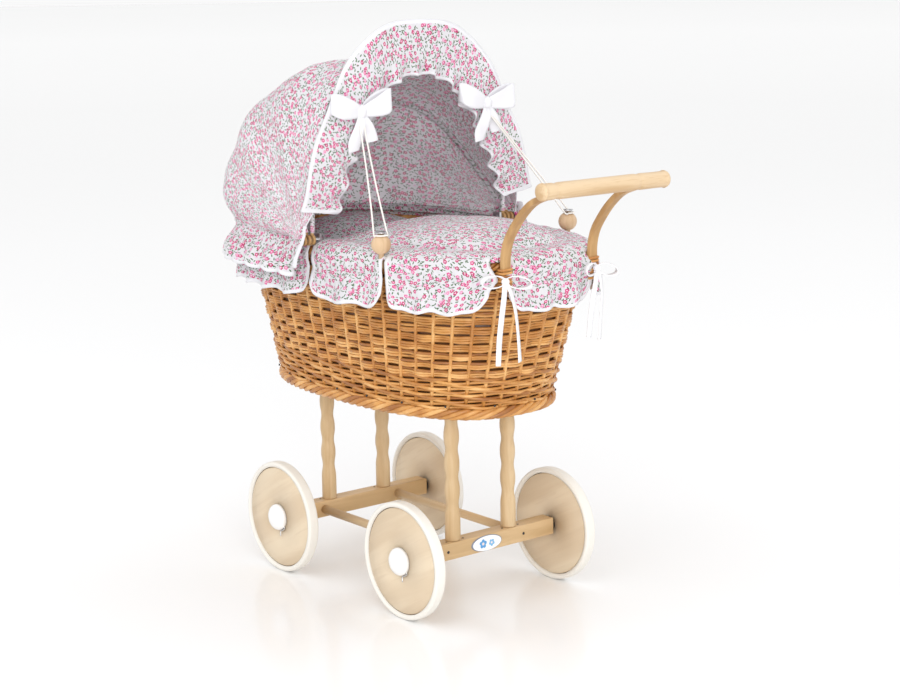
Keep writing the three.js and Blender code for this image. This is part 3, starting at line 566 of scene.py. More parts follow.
def makeElastic(side, sign):
    x, y, z = elastic["bow"]
    start = at(x, sign * y, z)
    neck = Vector((knobs[side].x, knobs[side].y, knobTop + 0.0003))
    toBow = Vector((start.x - neck.x, start.y - neck.y, 0)).normalized()
    across = Vector((-toBow.y, toBow.x, 0))
    down, back = [], []
    for i in range(8):
        share = i / 7
        middle = start.lerp(neck, share)
        spread = mix(elastic["bowSpread"], elastic["knobLoop"], share ** 2) * mm
        down.append(middle + across * spread)
        back.insert(0, middle - across * spread)
    loop = elastic["knobLoop"] * mm
    turn = [neck + across * loop * cos(i * pi / 6) - toBow * loop * sin(i * pi / 6) for i in range(1, 6)]
    points = route(down + turn + back, 90)
    obj = rods(side + "_elastic_cord", [(points, elastic["radius"], 0)], [paint["elastic"]])
    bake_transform(obj)
    finished(obj, None, "elastic", side + "_elastic")


tie = {   # mm; the two tails and two loops of each hand-tied bow
    "width": 6, "thickness": 0.9,
    "left": {
        "knot": (253, -72, 397),
        "tails": [[(253, -72, 397), (256, -75, 384), (256, -79, 360), (254, -81, 334), (253, -82, 307)],
                  [(254, -71, 396), (257, -66, 384), (257, -60, 362), (256, -56, 336), (255, -53, 308)]],
        "loops": [((-0.25, -0.95), 30, 3), ((0.35, 0.93), 27, -2)],
    },
    "right": {
        "knot": (256, 58, 398),
        "tails": [[(256, 58, 398), (259, 55, 386), (259, 51, 368), (257, 49, 346), (256, 47, 322)],
                  [(257, 59, 397), (260, 61, 386), (260, 63, 366), (258, 63, 342), (257, 62, 318)]],
        "loops": [((0.2, -0.97), 24, 1), ((0.1, 0.99), 26, -4)],
    },
}


# A flat ribbon along a line; width and facing (its crosswise direction) may change along it
def ribbon(name, line, widthAt, crossAt, thickness, material, rows=2):
    last = len(line) - 1

    def place(u, v):
        spot = u * last
        k = min(int(spot), last - 1)
        return line[k].lerp(line[k + 1], spot - k) + crossAt(u) * (widthAt(u) * (v - 0.5))

    obj = sheetGrid(name, stops(last), stops(rows), place, (lengthOf(line), widthAt(0.5)), [material])
    thicken(obj, thickness, offset=0)
    return applyAll(obj)


def joined(name, pieces):
    bm = bmesh.new()
    for piece in pieces:
        bm.from_mesh(piece.data)
    materials = list(pieces[0].data.materials)
    for piece in pieces:
        bpy.data.objects.remove(piece)
    return meshObject(name, bm, materials)


def makeTie(side):
    look = tie[side]
    knot = at(*look["knot"])
    for index, tail in enumerate(look["tails"]):
        line = route([at(*p) for p in tail], 24)
        lean = (line[-1] - line[0]).cross(Vector((1, 0, 0))).normalized()
        twist = 0.5 if index else -0.35
        obj = ribbon(f"{side}_tie_tail_{index + 1}", line, lambda u: tie["width"] * mm,
                     lambda u: (lean + Vector((1, 0, 0)) * twist * sin(u * 2.6)).normalized(),
                     tie["thickness"] * mm, paint["tape"])
        finished(obj, "root", "cotton_tape", *([side + "_tape_tie"] if index == 0 else []))
    loops = []
    for (dx, dy), reach, lift in look["loops"]:
        out = Vector((dx, dy, 0)).normalized()
        line = []
        for i in range(25):
            turn = i / 24 * 2 * pi
            away = reach * (1 - cos(turn)) / 2 * mm
            rise = 6.5 * sin(turn) * mm + lift * (away / reach) - 2.0 * (away * 30) ** 2 * mm
            line.append(knot + out * away + Vector((0.003 * sin(turn / 2) ** 2 + 0.001, 0, rise)))
        loops.append(ribbon("loop", line, lambda u: (4.0 + 3.6 * sin(u * pi)) * mm,
                            lambda u: Vector((0.9, -0.3, 0.35 * cos(u * 2 * pi))).normalized(),
                            tie["thickness"] * mm, paint["tape"]))
    bm = bmesh.new()
    bmesh.ops.create_uvsphere(bm, u_segments=14, v_segments=9, radius=1)
    bmesh.ops.scale(bm, verts=bm.verts, vec=(0.0042, 0.0046, 0.0040))
    bmesh.ops.translate(bm, verts=bm.verts, vec=knot + Vector((0.0015, 0, 0)))
    loops.append(meshObject("knot", bm, [paint["tape"]]))
    finished(joined(side + "_tie_bow", loops), "root", "cotton_tape")


for side, sign in sides:
    makeElastic(side, sign)
    makeTie(side)
print("elastics and ties made")


# ---- basket
basket = {   # mm
    "baseLength": 394, "baseWidth": 220, "power": 2.6, "taper": (236, 403),
    "stakes": 52, "stakeRadius": 2.3, "rodRadius": 1.62, "middle": -3.8, "swing": 3.1,
    "rowPitch": 10.3, "rodsInRow": 3, "upperStart": 285, "lowerStart": 245.5, "lowerPitch": 3.75,
    "footTurns": 15, "rimTurns": 44, "nailSpacing": 60,
}
rimHalf = Vector(((wallHigh.x - wallLow.x) / 2, (wallHigh.y - wallLow.y) / 2, 0))
basketMiddle = (wallHigh.x + wallLow.x) / 2


# A point of the basket's outer face at an angle, moved outwards by offset and at height z, both in mm
def basketPoint(angle, offset, z):
    low, high = basket["taper"]
    share = min(max((z - low) / (high - low), 0), 1)
    halfX = mix(basket["baseLength"] * mm / 2, rimHalf.x, share) + offset * mm
    halfY = mix(basket["baseWidth"] * mm / 2, rimHalf.y, share) + offset * mm
    c, s = cos(angle), sin(angle)
    curve = 2 / basket["power"]
    x = halfX * abs(c) ** curve * (1 if c > 0 else -1)
    y = halfY * abs(s) ** curve * (1 if s > 0 else -1)
    return Vector((basketMiddle + x, y, z * mm))


# Angles of places equally far apart along the rim, so stakes and folds are even
def evenAngles():
    fine = [i / 1440 * 2 * pi for i in range(1441)]
    walked, lengths = 0.0, [0.0]
    for a, b in zip(fine, fine[1:]):
        walked += (basketPoint(b, 0, 340) - basketPoint(a, 0, 340)).length
        lengths.append(walked)
    return fine, lengths


fineAngles, fineLengths = evenAngles()
around = fineLengths[-1]


def angleAt(share):
    share -= int(share // 1)
    wanted = share * around
    low, high = 0, len(fineLengths) - 1
    while high - low > 1:
        half = (low + high) // 2
        low, high = (half, high) if fineLengths[half] <= wanted else (low, half)
    span = fineLengths[high] - fineLengths[low]
    return mix(fineAngles[low], fineAngles[high], (wanted - fineLengths[low]) / span)


def shareOf(angle):
    angle %= 2 * pi
    spot = angle / (2 * pi) * 1440
    k = min(int(spot), 1439)
    return mix(fineLengths[k], fineLengths[k + 1], spot - k) / around


def makeWeave():
    count = basket["stakes"]
    paths = []
    for k in range(count):
        angle = angleAt((k + 0.5) / count)
        lean = 0.4 * wobble(k * 3.1)
        points = [basketPoint(angle, basket["middle"] + lean, mix(241, 404, i / 6)) for i in range(7)]
        flat = basket["stakeRadius"] * (1 + 0.12 * wobble(k * 1.7, 4))
        paths.append((points, flat * mm, 0 if k % 3 else 1))
    fineSteps = 4
    row = 0
    z = basket["upperStart"]
    while z < 402:
        for r in range(basket["rodsInRow"]):
            seed = row * 7.3 + r * 2.1
            points = []
            for i in range(count * fineSteps):
                s = i / fineSteps
                swing = cos(pi * (s + 0.5 + row))
                spread = 1 - 0.16 * (1 - abs(swing))
                rise = (r - 1) * 3.1 * spread + 0.9 * wobble(s * 0.35, seed) + 0.5 * wobble(s * 1.3, seed, 3)
                offset = basket["middle"] + basket["swing"] * swing + 0.35 * wobble(s * 0.9, seed, 9)
                points.append(basketPoint(angleAt((s + 0.5) / count), offset, z + rise))
            radius = basket["rodRadius"] * (1 + 0.1 * wobble(seed * 1.9))
            paths.append((points, radius * mm, (0, 1, 0, 1, 2, 1, 0)[int(seed) % 7]))
        row += 1
        z += basket["rowPitch"]
    z = basket["lowerStart"]
    row = 0
    while z < basket["upperStart"] - 5.5:
        seed = 90 + row * 3.7
        points = []
        for i in range(count * fineSteps):
            s = i / fineSteps
            swing = sin(2 * pi * (s + row) / 3)
            offset = -2.6 + 2.2 * swing + 0.3 * wobble(s, seed)
            rise = 1.1 * cos(2 * pi * (s + row) / 3) + 0.8 * wobble(s * 0.4, seed)
            points.append(basketPoint(angleAt((s + 0.5) / count), offset, z + rise))
        paths.append((points, (1.95 + 0.2 * wobble(seed)) * mm, (0, 1, 1, 2, 0, 1)[row % 6]))
        row += 1
        z += basket["lowerPitch"]
    weave = rods("basket_weave", [p for p in paths[count:]], wickerTones, cyclic=True)
    stakes = rods("basket_stakes", paths[:count], wickerTones)
    finished(weave, "root", "wicker", "basket_wall")
    finished(stakes, "root", "wicker")


# A band round the basket from a few (offset, height) places, closed into a ring when asked
def bandRound(name, profile, segments, materials, closed=True):
    bm = bmesh.new()
    turnLayer = bm.verts.layers.float.new("turn")
    ring = bmesh.ops.create_circle(bm, segments=segments, radius=1)["verts"]
    for vert in ring:
        vert[turnLayer] = atan2(vert.co.y, vert.co.x)
    edges = bm.edges[:]
    first = edges[:]

    def put(verts, spot):
        for vert in verts:
            vert.co = basketPoint(vert[turnLayer], *spot)

    put(ring, profile[0])
    for spot in profile[1:]:
        grown = bmesh.ops.extrude_edge_only(bm, edges=edges)["geom"]
        edges = [e for e in grown if isinstance(e, bmesh.types.BMEdge)]
        put([v for v in grown if isinstance(v, bmesh.types.BMVert)], spot)
    if closed:
        bmesh.ops.bridge_loops(bm, edges=first + edges)
    bmesh.ops.recalc_face_normals(bm, faces=bm.faces)
    return meshObject(name, bm, materials)


def twistedBorder(name, turns, strands, middle, coil, radius, replaced):
    paths = []
    steps = turns * 9
    for strand in range(strands):
        points = []
        for i in range(steps):
            turn = i / steps * turns * 2 * pi + strand * 2 * pi / strands
            angle = angleAt(i / steps)
            points.append(basketPoint(angle, middle[0] + coil[0] * cos(turn), middle[1] + coil[1] * sin(turn)))
        paths.append((points, radius * mm, strand % 3))
    finished(rods(name, paths, wickerTones, cyclic=True), "root", "wicker", replaced)


def makeNails():
    paths = []
    count = int(around / (basket["nailSpacing"] * mm))
    for k in range(count):
        angle = angleAt((k + 0.3) / count)
        paths.append([basketPoint(angle, 1.0, 247.5), basketPoint(angle, 2.2, 247.5)])
    finished(rods("border_nails", [(p, 0.0013, 0) for p in paths], [paint["iron"]]), "root", "dark_steel")


makeWeave()
twistedBorder("basket_foot_braid", basket["footTurns"], 5, (-2.4, 238), (4.1, 4.4), 2.9, "basket_foot_border")
twistedBorder("basket_rim_braid", basket["rimTurns"], 4, (-2.0, 409.8), (3.4, 3.8), 2.2, "basket_rim_border")
# Painted shade: a near-black band just inside the weave, standing in for the shade seen through the gaps between the
# rods
gapShadeBand = bandRound("basket_gap_painted_shade", [(-6.2, 243), (-6.2, 402), (-7.9, 402), (-7.9, 243)], 96,
                   [paint["wickerGapPaintedShade"]])
finished(gapShadeBand, "root", "wicker")
makeNails()
print("basket woven")


# ---- wheels and undercarriage
wheel = {"segments": 72, "tyreRound": 3.2, "discBevel": 1.2}   # mm


def makeWheels():
    for end, _ in ends:
        for side, sign in sides:
            label = f"{end}_{side}"
            body = label + "_wheel"
            low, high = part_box(label + "_tyre")
            discLow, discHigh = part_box(label + "_wheel_disc")
            centre = (discLow + discHigh) / 2
            outer, width = (high.z - low.z) / 2, (high.y - low.y) / 2
            inner, half = (discHigh.z - discLow.z) / 2, (discHigh.y - discLow.y) / 2
            centre.z = low.z + outer
            r = wheel["tyreRound"] * mm
            section = [(inner + 0.0002, -width + 0.001)]
            section += [(outer - r + r * sin(a), -width + r - r * cos(a)) for a in (i * pi / 10 for i in range(6))]
            section += [(radius, -side) for radius, side in reversed(section)]
            section.append(section[0])
            tyre = turned(label + "_tyre_round", section, centre, "y", wheel["segments"], [paint["tyre"]])
            finished(tyre, body, "white_rubber", label + "_tyre")
            b = wheel["discBevel"] * mm
            face = [(0.0031, half), (inner - b - 0.0006, half), (inner - 0.0006, half - b)]
            section = face + [(radius, -side) for radius, side in reversed(face)] + [face[0]]
            disc = turned(label + "_disc", section, centre, "y", wheel["segments"], [paint["wheel"]])
            finished(disc, body, "wheel_wood", label + "_wheel_disc")
            seam = [(inner - 0.0007, half - 0.0014), (inner + 0.0004, half - 0.0014), (inner + 0.0004, half - 0.003),
                    (inner - 0.0007, half - 0.003)]
            seam = seam + [seam[0]]
            line = turned(label + "_glue_line", seam, centre, "y", wheel["segments"], [paint["seam"]], flip=sign < 0)
            finished(line, body, "wheel_wood")
            makeHubCap(label, body, sign)


def makeHubCap(label, body, sign):
    low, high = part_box(label + "_hub_cap")
    centre = (low + high) / 2
    radius, height = (high.z - low.z) / 2, high.y - low.y
    outline = [(0, 0), (radius, 0)]
    outline += [(radius * cos(a), height * (0.16 + 0.84 * sin(a))) for a in (i * pi / 18 for i in range(1, 10))]
    outline[-1] = (0, height)
    inner = low.y if sign > 0 else high.y
    cap = turned(label + "_hub_dome", outline, Vector((centre.x, inner, centre.z)), "y", 40, [paint["plastic"]],
                 flip=sign > 0)
    if sign * (sum((v.co.y - inner) for v in cap.data.vertices)) < 0:
        for vert in cap.data.vertices:
            vert.co.y = 2 * inner - vert.co.y
        cap.data.flip_normals()
    finished(cap, body, "white_plastic", label + "_hub_cap")
    # the spring clip whose two wire ends show below the dome
    out = Vector((0, sign, 0))
    base = Vector((centre.x, inner + sign * 0.0012, centre.z))
    points = []
    for a in (-40, -52, -64, -76):
        points.append(base + Vector((cos(radians(a)), 0, sin(radians(a)))) * (radius + 0.0012))
    start, end = points[0], points[-1]
    clip = [start * 1.0 + (base - start) * 0.3 + out * 0.0035, start, *points[1:-1], end,
            end + (end - base) * 0.34 + out * 0.001]
    finished(rods(label + "_wire_clip", [(route(clip, 18), 0.0007, 0)], [paint["steel"]]), body, "steel")


post = {"foot": 27, "pitch": 33, "depth": 1.7, "segments": 32}   # mm


def makePosts():
    for end, _ in ends:
        for side, _ in sides:
            low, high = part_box(f"{end}_{side}_post")
            radius = (high.y - low.y) / 2
            tall = (high.z - low.z) / mm
            outline = [(0, 0), (radius - 0.0006, 0), (radius, 0.0008)]
            beads = round((tall - post["foot"]) / post["pitch"])
            for i in range(beads * 8 + 1):
                share = i / 8
                waist = (1 - cos(share * 2 * pi)) / 2
                waist = waist ** 1.4
                z = post["foot"] + share * (tall - post["foot"]) / beads
                outline.append((radius - post["depth"] * waist * mm, z * mm))
            outline += [(0, tall * mm)]
            centre = Vector(((low.x + high.x) / 2, (low.y + high.y) / 2, low.z))
            obj = turned(f"{end}_{side}_turned_post", outline, centre, "z", post["segments"], [paint["post"]])
            finished(obj, "root", "beech", f"{end}_{side}_post")


def makeBeams():
    for end, sign in ends:
        low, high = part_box(end + "_axle_beam")
        bm = bmesh.new()
        bmesh.ops.create_cube(bm, size=1)
        bmesh.ops.scale(bm, verts=bm.verts, vec=high - low)
        bmesh.ops.bevel(bm, geom=bm.edges[:], offset=0.0011, offset_type="OFFSET", segments=2, profile=0.5,
                        affect="EDGES", material=-1)
        bmesh.ops.translate(bm, verts=bm.verts, vec=(low + high) / 2)
        beam = meshObject(end + "_beam", bm, [paint["beam"]], shadeSmooth=False)
        finished(beam, "root", "beech", end + "_axle_beam")
        nails = []
        for side, _ in sides:
            spot = middleOf(f"{end}_{side}_post")
            for shift in (-0.012, 0.0125):
                foot = Vector((spot.x + 0.003 * sign, spot.y + shift, high.z - 0.0004))
                nails.append(([foot, foot + Vector((0, 0, 0.0009))], 0.0011, 0))
            rod = middleOf(side + "_stretcher")
            face = Vector((high.x if sign > 0 else low.x, rod.y, rod.z))
            nails.append(([face - Vector((sign * 0.0005, 0, 0)), face + Vector((sign * 0.0006, 0, 0))], 0.0017, 0))
        finished(rods(end + "_beam_nails", nails, [paint["iron"]]), "root", "dark_steel")
    for side, _ in sides:
        low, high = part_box(side + "_stretcher")
        middle = (low + high) / 2
        radius, half = (high.z - low.z) / 2, (high.x - low.x) / 2
        bm = bmesh.new()
        bmesh.ops.create_cone(bm, cap_ends=True, segments=28, radius1=radius, radius2=radius, depth=2 * half)
        bmesh.ops.rotate(bm, verts=bm.verts, matrix=Matrix.Rotation(pi / 2, 3, "Y"))
        bmesh.ops.translate(bm, verts=bm.verts, vec=middle)
        rod = meshObject(side + "_stretcher_rod", bm, [paint["stretcher"]])
        finished(rod, "root", "beech", side + "_stretcher")


# The oval plate: white card with a small printed flower
def makePlate():
    low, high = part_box("name_plate")
    middle = (low + high) / 2
    bm = bmesh.new()
    bmesh.ops.create_cone(bm, cap_ends=True, segments=48, radius1=1, radius2=0.95, depth=2)
    bmesh.ops.rotate(bm, verts=bm.verts, matrix=Matrix.Rotation(pi / 2, 3, "Y"))
    bmesh.ops.scale(bm, verts=bm.verts, vec=(high - low) / 2)
    bmesh.ops.translate(bm, verts=bm.verts, vec=middle)
    material, tree, shader = newMaterial("plateCard", 0.3)
    coordinates = tree.node("ShaderNodeTexCoord").outputs["Object"]
    local = tree.vector("SUBTRACT", coordinates, tuple(middle))
    parts = tree.node("ShaderNodeSeparateXYZ", Vector=local).outputs
    y, z = parts[1], parts[2]

    def disc(cy, cz, radius):
        dy = tree.math("SUBTRACT", y, cy * mm)
        dz = tree.math("SUBTRACT", z, cz * mm)
        far = tree.math("SQRT", tree.math("ADD", tree.math("MULTIPLY", dy, dy), tree.math("MULTIPLY", dz, dz)))
        return tree.edge(far, (radius - 0.3) * mm, (radius + 0.3) * mm)

    colour = rgb(0.88, 0.90, 0.93)
    for k in range(5):
        a = radians(90 + 72 * k)
        colour = tree.blend(disc(-6 + 3.3 * cos(a), 3.3 * sin(a), 2.3), colour, rgb(0.10, 0.33, 0.66))
    colour = tree.blend(disc(-6, 0, 1.7), colour, rgb(0.88, 0.70, 0.62))
    for k in range(5):
        a = radians(54 + 72 * k)
        colour = tree.blend(disc(7 + 2.6 * cos(a), -0.6 + 2.6 * sin(a), 1.8), colour, rgb(0.20, 0.46, 0.74))
    colour = tree.blend(disc(7, -0.6, 1.3), colour, rgb(0.90, 0.74, 0.68))
    round2 = tree.math("ADD", tree.math("POWER", tree.math("DIVIDE", y, (high.y - middle.y)), 2.0),
                       tree.math("POWER", tree.math("DIVIDE", z, (high.z - middle.z)), 2.0))
    colour = tree.blend(tree.edge(round2, 0.84, 0.88), rgb(0.22, 0.25, 0.32), colour)
    tree.feed(shader.inputs["Base Color"], colour)
    finished(meshObject("flower_plate", bm, [material], shadeSmooth=False), "root", "label", "name_plate")


makeWheels()
makePosts()
makeBeams()
makePlate()
print("undercarriage made")


# ---- handle and knobs
handle = {   # mm; grooves are (share of the bar's length, depth)
    "wrapFrom": 386, "wrapTo": 413, "wrapPitch": 3.1, "rodRadius": 1.45, "armEnd": 388, "barSegments": 40,
    "grooves": ((0.11, 0.9), (0.76, 0.8)), "grooveWidth": 0.014,
}


def makeHandle():
    low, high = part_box("push_bar")
    middle = (low + high) / 2
    radius, half = (high.z - low.z) / 2, (high.y - low.y) / 2
    outline = [(0, -half), (radius - 0.0024, -half), (radius - 0.0009, -half + 0.0008),
               (radius - 0.0002, -half + 0.003)]
    for i in range(2, 89):
        share = i / 90
        groove = sum(depth * exp(-((share - spot) / handle["grooveWidth"]) ** 2) for spot, depth in handle["grooves"])
        outline.append((radius - 0.0004 - groove * mm - 0.0005 * (1 + wobble(share * 5, 7)), mix(-half, half, share)))
    outline += [(radius - 0.0002, half - 0.003), (radius - 0.0009, half - 0.0008), (radius - 0.0024, half), (0, half)]
    bar = turned("grip_bar", outline, middle, "y", handle["barSegments"], [paint["bar"]])
    finished(bar, "root", "beech", "push_bar")
    for side, _ in sides:
        makeArm(side)


# The bent strip with rounded edges; its foot ends inside the weave, under a willow wrapping
def makeArm(side):
    node = nodes[side + "_handle_arm"]
    bm = bmesh.new()
    bm.from_mesh(node.data)
    bmesh.ops.remove_doubles(bm, verts=bm.verts, dist=1e-5)
    cut = bmesh.ops.bisect_plane(bm, geom=bm.verts[:] + bm.edges[:] + bm.faces[:], clear_inner=True,
                                 plane_co=(0, 0, handle["armEnd"] * mm), plane_no=(0, 0, 1))
    bmesh.ops.holes_fill(bm, edges=[e for e in cut["geom_cut"] if isinstance(e, bmesh.types.BMEdge)])
    bmesh.ops.recalc_face_normals(bm, faces=bm.faces)
    sharp = [e for e in bm.edges if e.is_manifold and e.calc_face_angle(0) > radians(60)]
    bmesh.ops.bevel(bm, geom=sharp, offset=0.0011, offset_type="OFFSET", segments=3, profile=0.5, affect="EDGES",
                    material=-1)
    arm = meshObject(side + "_arm_strip", bm, [paint["arm"]])
    finished(arm, "root", "bent_wood", side + "_handle_arm")
    loops = []
    count = int((handle["wrapTo"] - handle["wrapFrom"]) / handle["wrapPitch"])
    for i in range(count):
        height = handle["wrapFrom"] + i * handle["wrapPitch"]
        near = [v.co for v in arm.data.vertices if abs(v.co.z - height * mm) < 0.016]
        low = Vector(min(c[k] for c in near) for k in range(2))
        high = Vector(max(c[k] for c in near) for k in range(2))
        middle, half = (low + high) / 2, (high - low) / 2 + Vector((1, 1)) * handle["rodRadius"] * 0.8 * mm
        loop = []
        for k in range(20):
            a = k / 20 * 2 * pi
            x = half.x * abs(cos(a)) ** 0.5 * (1 if cos(a) > 0 else -1)
            y = half.y * abs(sin(a)) ** 0.5 * (1 if sin(a) > 0 else -1)
            loop.append(Vector((middle.x + x, middle.y + y, height * mm + 0.0006 * sin(a + i))))
        loops.append((loop, handle["rodRadius"] * mm, i % 3))
    finished(rods(side + "_arm_wrapping", loops, wickerTones, cyclic=True), "root", "wicker")


def makeKnob(side):
    low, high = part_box(side + "_hood_knob")
    centre = Vector(((low.x + high.x) / 2, (low.y + high.y) / 2, 0))
    radius = (high.x - low.x) / 2
    ball = high.z - sqrt(radius ** 2 - 0.0045 ** 2)
    outline = [(0, ball - 0.026), (0.0028, ball - 0.026)]   # the stem is hidden in the slit of the skirt
    outline += [(radius * cos(a), ball + radius * sin(a)) for a in (radians(mix(-74, 66, i / 14)) for i in range(15))]
    outline += [(0, outline[-1][1])]
    knob = turned(side + "_round_knob", outline, centre, "z", 32, [paint["knob"]])
    finished(knob, "root", "beech", side + "_hood_knob")
    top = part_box(side + "_knob_screw")[1].z
    cup = [(0, top - 0.0032), (0.0034, top - 0.0032), (0.0066, top - 0.0003), (0.0062, top), (0.0036, top - 0.0018),
           (0.0030, top - 0.0012), (0.0018, top - 0.0002), (0, top)]
    washer = turned(side + "_cup_washer", cup, centre, "z", 28, [paint["steel"]])
    finished(washer, "root", "steel", side + "_knob_screw")


makeHandle()
for side, _ in sides:
    makeKnob(side)
print("handle and knobs made")


# ---- bedding
padding = {"voxel": 0.005, "pressure": 4.0, "frames": 20, "cap": 0.006, "shrink": 0.97}


# Swells a copy of the CAD pad with a short cloth simulation
def makePad(name, node, slot, material, cap=None):
    cap = cap or padding["cap"]
    bm = bmesh.new()
    bm.from_mesh(nodes[node].data)
    bmesh.ops.remove_doubles(bm, verts=bm.verts, dist=1e-5)
    middle = middleOf(node)
    for vert in bm.verts:
        vert.co = middle + (vert.co - middle) * padding["shrink"]
    obj = meshObject(name, bm, [material])
    remesh = obj.modifiers.new("even", "REMESH")
    remesh.mode, remesh.voxel_size = "VOXEL", padding["voxel"]
    applyAll(obj)
    relax = obj.modifiers.new("relax", "SMOOTH")
    relax.factor, relax.iterations = 0.5, 6
    applyAll(obj)
    rest = [v.co.copy() for v in obj.data.vertices]
    cloth = obj.modifiers.new("stuffing", "CLOTH")
    cloth.settings.use_pressure = True
    cloth.settings.uniform_pressure_force = padding["pressure"]
    cloth.settings.effector_weights.gravity = 0
    cloth.settings.quality = 6
    for step in range(1, padding["frames"] + 1):
        scene.frame_set(step)
    applyAll(obj)
    scene.frame_set(1)
    for vert, start in zip(obj.data.vertices, rest):
        push = vert.co - start
        if push.length > cap:
            vert.co = start + push.normalized() * cap
    obj.data.polygons.foreach_set("use_smooth", [True] * len(obj.data.polygons))
    soften(obj)
    applyAll(obj)
    finished(obj, "root", slot, node)
    return obj


def heightOver(obj):   # the pad's top under a place, or None
    tree = BVHTree.FromPolygons([v.co for v in obj.data.vertices], [p.vertices for p in obj.data.polygons])

    def look(x, y):
        hit = tree.ray_cast(Vector((x, y, 1)), Vector((0, 0, -1)))[0]
        return hit.z if hit else None
    return look


makePad("mattress_pad", "mattress", "plain_cotton", paint["linen"], 0.003)
pillow = makePad("soft_pillow", "pillow", "floral_cotton", paint["padPrint"], 0.012)
quilt = makePad("soft_quilt", "quilt", "floral_cotton", paint["padPrint"])
print("pads stuffed")


# ---- coverlet and skirt
skirt = {   # mm; fall is the outer profile as (way down the cloth, offset from the wall, height)
    "fall": [(0, -30, 421.5), (18, -13, 423.0), (30, -3, 422.0), (39, 5.4, 417.5), (46, 8.6, 410.5), (56, 8.6, 400.5),
             (63, 7.8, 394), (70, 10.5, 388), (84, 16.0, 374.5), (102, 21.0, 358)],
    "drop": 102, "topEnd": 42, "hangStart": 32, "gatherAt": 62, "tuck": 4.6, "armHalf": 8.2, "knobHalf": 1.6,
    "armCover": 15.5, "knobCover": 14.6, "tieAt": 60, "tieHalf": 2.4,
    "pivotX": 1.5, "bracketClear": 1.6,
    "binding": 4.6, "hemWave": 4.2, "gather": 1.0, "gatherPitch": 8.0, "corner": 26, "thickness": 0.9,
}


def fallAt(way):
    line = skirt["fall"]
    return (between([(s, o) for s, o, _ in line], way), between([(s, z) for s, _, z in line], way))


def shareAtX(x, sign):   # share of the rim's length where it passes X, on one side
    reach = x * mm + pivot.x - basketMiddle
    bend = abs(reach / rimHalf.x) ** (basket["power"] / 2) * (1 if reach > 0 else -1)
    share = shareOf(sign * (pi / 2 - asin(bend)))
    return share - 1 if sign < 0 else share


def shareAtY(y):   # at the foot end
    angle = asin(abs(y * mm / rimHalf.y) ** (basket["power"] / 2))
    return shareOf(angle) if y > 0 else shareOf(-angle) - 1


knobX = (knobs["left"].x - pivot.x) / mm
armY = abs(middleOf("left_handle_arm").y) / mm
slitShares = [shareAtX(knobX, 1), shareAtX(knobX, -1), shareAtY(armY), shareAtY(-armY)]
pivotShares = [shareAtX(0, 1), shareAtX(0, -1)]
bracketFace = abs(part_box("left_hood_bracket")[0].y) - abs(basketPoint(angleAt(pivotShares[0]), 0, 400).y)
bracketCover = bracketFace / mm + skirt["bracketClear"]


# Distance along the rim to the nearest of some slits, in mm
def farFrom(share, slits):
    return min(abs((share - s + 0.5) % 1 - 0.5) for s in slits) * around / mm


# The cover is drawn in beside an arm, and lower down its panels pass over the arms and the knob stems
def clothPoint(share, way, extra=0.0, lift=0.0):
    offset, z = fallAt(way)
    arm, knob = farFrom(share, slitShares[2:]), farFrom(share, slitShares[:2])
    if way > 30:
        lower = smooth((way - 44) / 12)
        tuck = (1 - smooth((arm - 7) / 9)) * (1 - lower)
        offset = mix(offset, min(offset, skirt["tuck"]), tuck)
        extra = mix(extra, 0, tuck)
        cover = (1 - smooth((arm - 7) / 14)) * lower
        offset = mix(offset, max(offset, skirt["armCover"]), cover)
        cover = (1 - smooth((knob - 4) / 15)) * smooth((way - 36) / 9)
        offset = mix(offset, max(offset, skirt["knobCover"]), cover)
        cover = (1 - smooth((farFrom(share, pivotShares) - 9) / 20)) * smooth((way - 34) / 8)
        offset = mix(offset, max(offset, bracketCover), cover)
    return basketPoint(angleAt(share), offset + extra, z + lift)


# The quilt's top cover, from its middle line out over the rim
def makeCoverlet():
    look = heightOver(quilt)
    start, end = shareAtX(4.5, -1), shareAtX(4.5, 1)
    spineLow, spineHigh = at(4.5, 0, 0).x, at(128, 0, 0).x
    inner, outer = 26, 12

    def place(u, v):
        share = mix(start, end, u)
        spot = v * (inner + outer)
        rim = clothPoint(share, 0)
        if spot > inner:
            way = (spot - inner) / outer * skirt["topEnd"]
            point = clothPoint(share, way)
            ripple = 0.5 * sin(share * around / mm / 5.2) * smooth(way / 30)
            point.z += ripple * mm
            return point
        t = spot / inner
        spineX = min(max(rim.x, spineLow), spineHigh)
        spine = Vector((spineX, 0, 0))
        point = Vector((mix(spine.x, rim.x, t), mix(0, rim.y, t), 0))
        crown = 0.4395 - 0.018 * t ** 2.4
        edge = smooth((point.x - spineLow) / 0.022)
        crown = mix(0.4235, crown, 0.25 + 0.75 * edge)
        crown += 0.0011 * wobble(point.x * 28, point.y * 28, 3) + 0.0007 * wobble(point.x * 75, point.y * 60, 8)
        below = look(point.x, point.y)
        if below is not None:
            crown = max(crown, below + 0.0012)
        if t > 0.9:
            crown = mix(crown, rim.z, (t - 0.9) / 0.1)
        return Vector((point.x, point.y, crown))

    obj = sheetGrid("quilt_cover", stops(150), stops(inner + outer), place, (1, 1), [paint["print"]])
    uv = obj.data.uv_layers[0].data
    for loop in obj.data.loops:
        co = obj.data.vertices[loop.vertex_index].co
        uv[loop.index].uv = (co.x, co.y + (0.42 - co.z) * (1 if co.y > 0 else -1))
    soften(obj)
    thicken(obj, skirt["thickness"] * mm)
    applyAll(obj)
    finished(obj, "root", "floral_cotton")


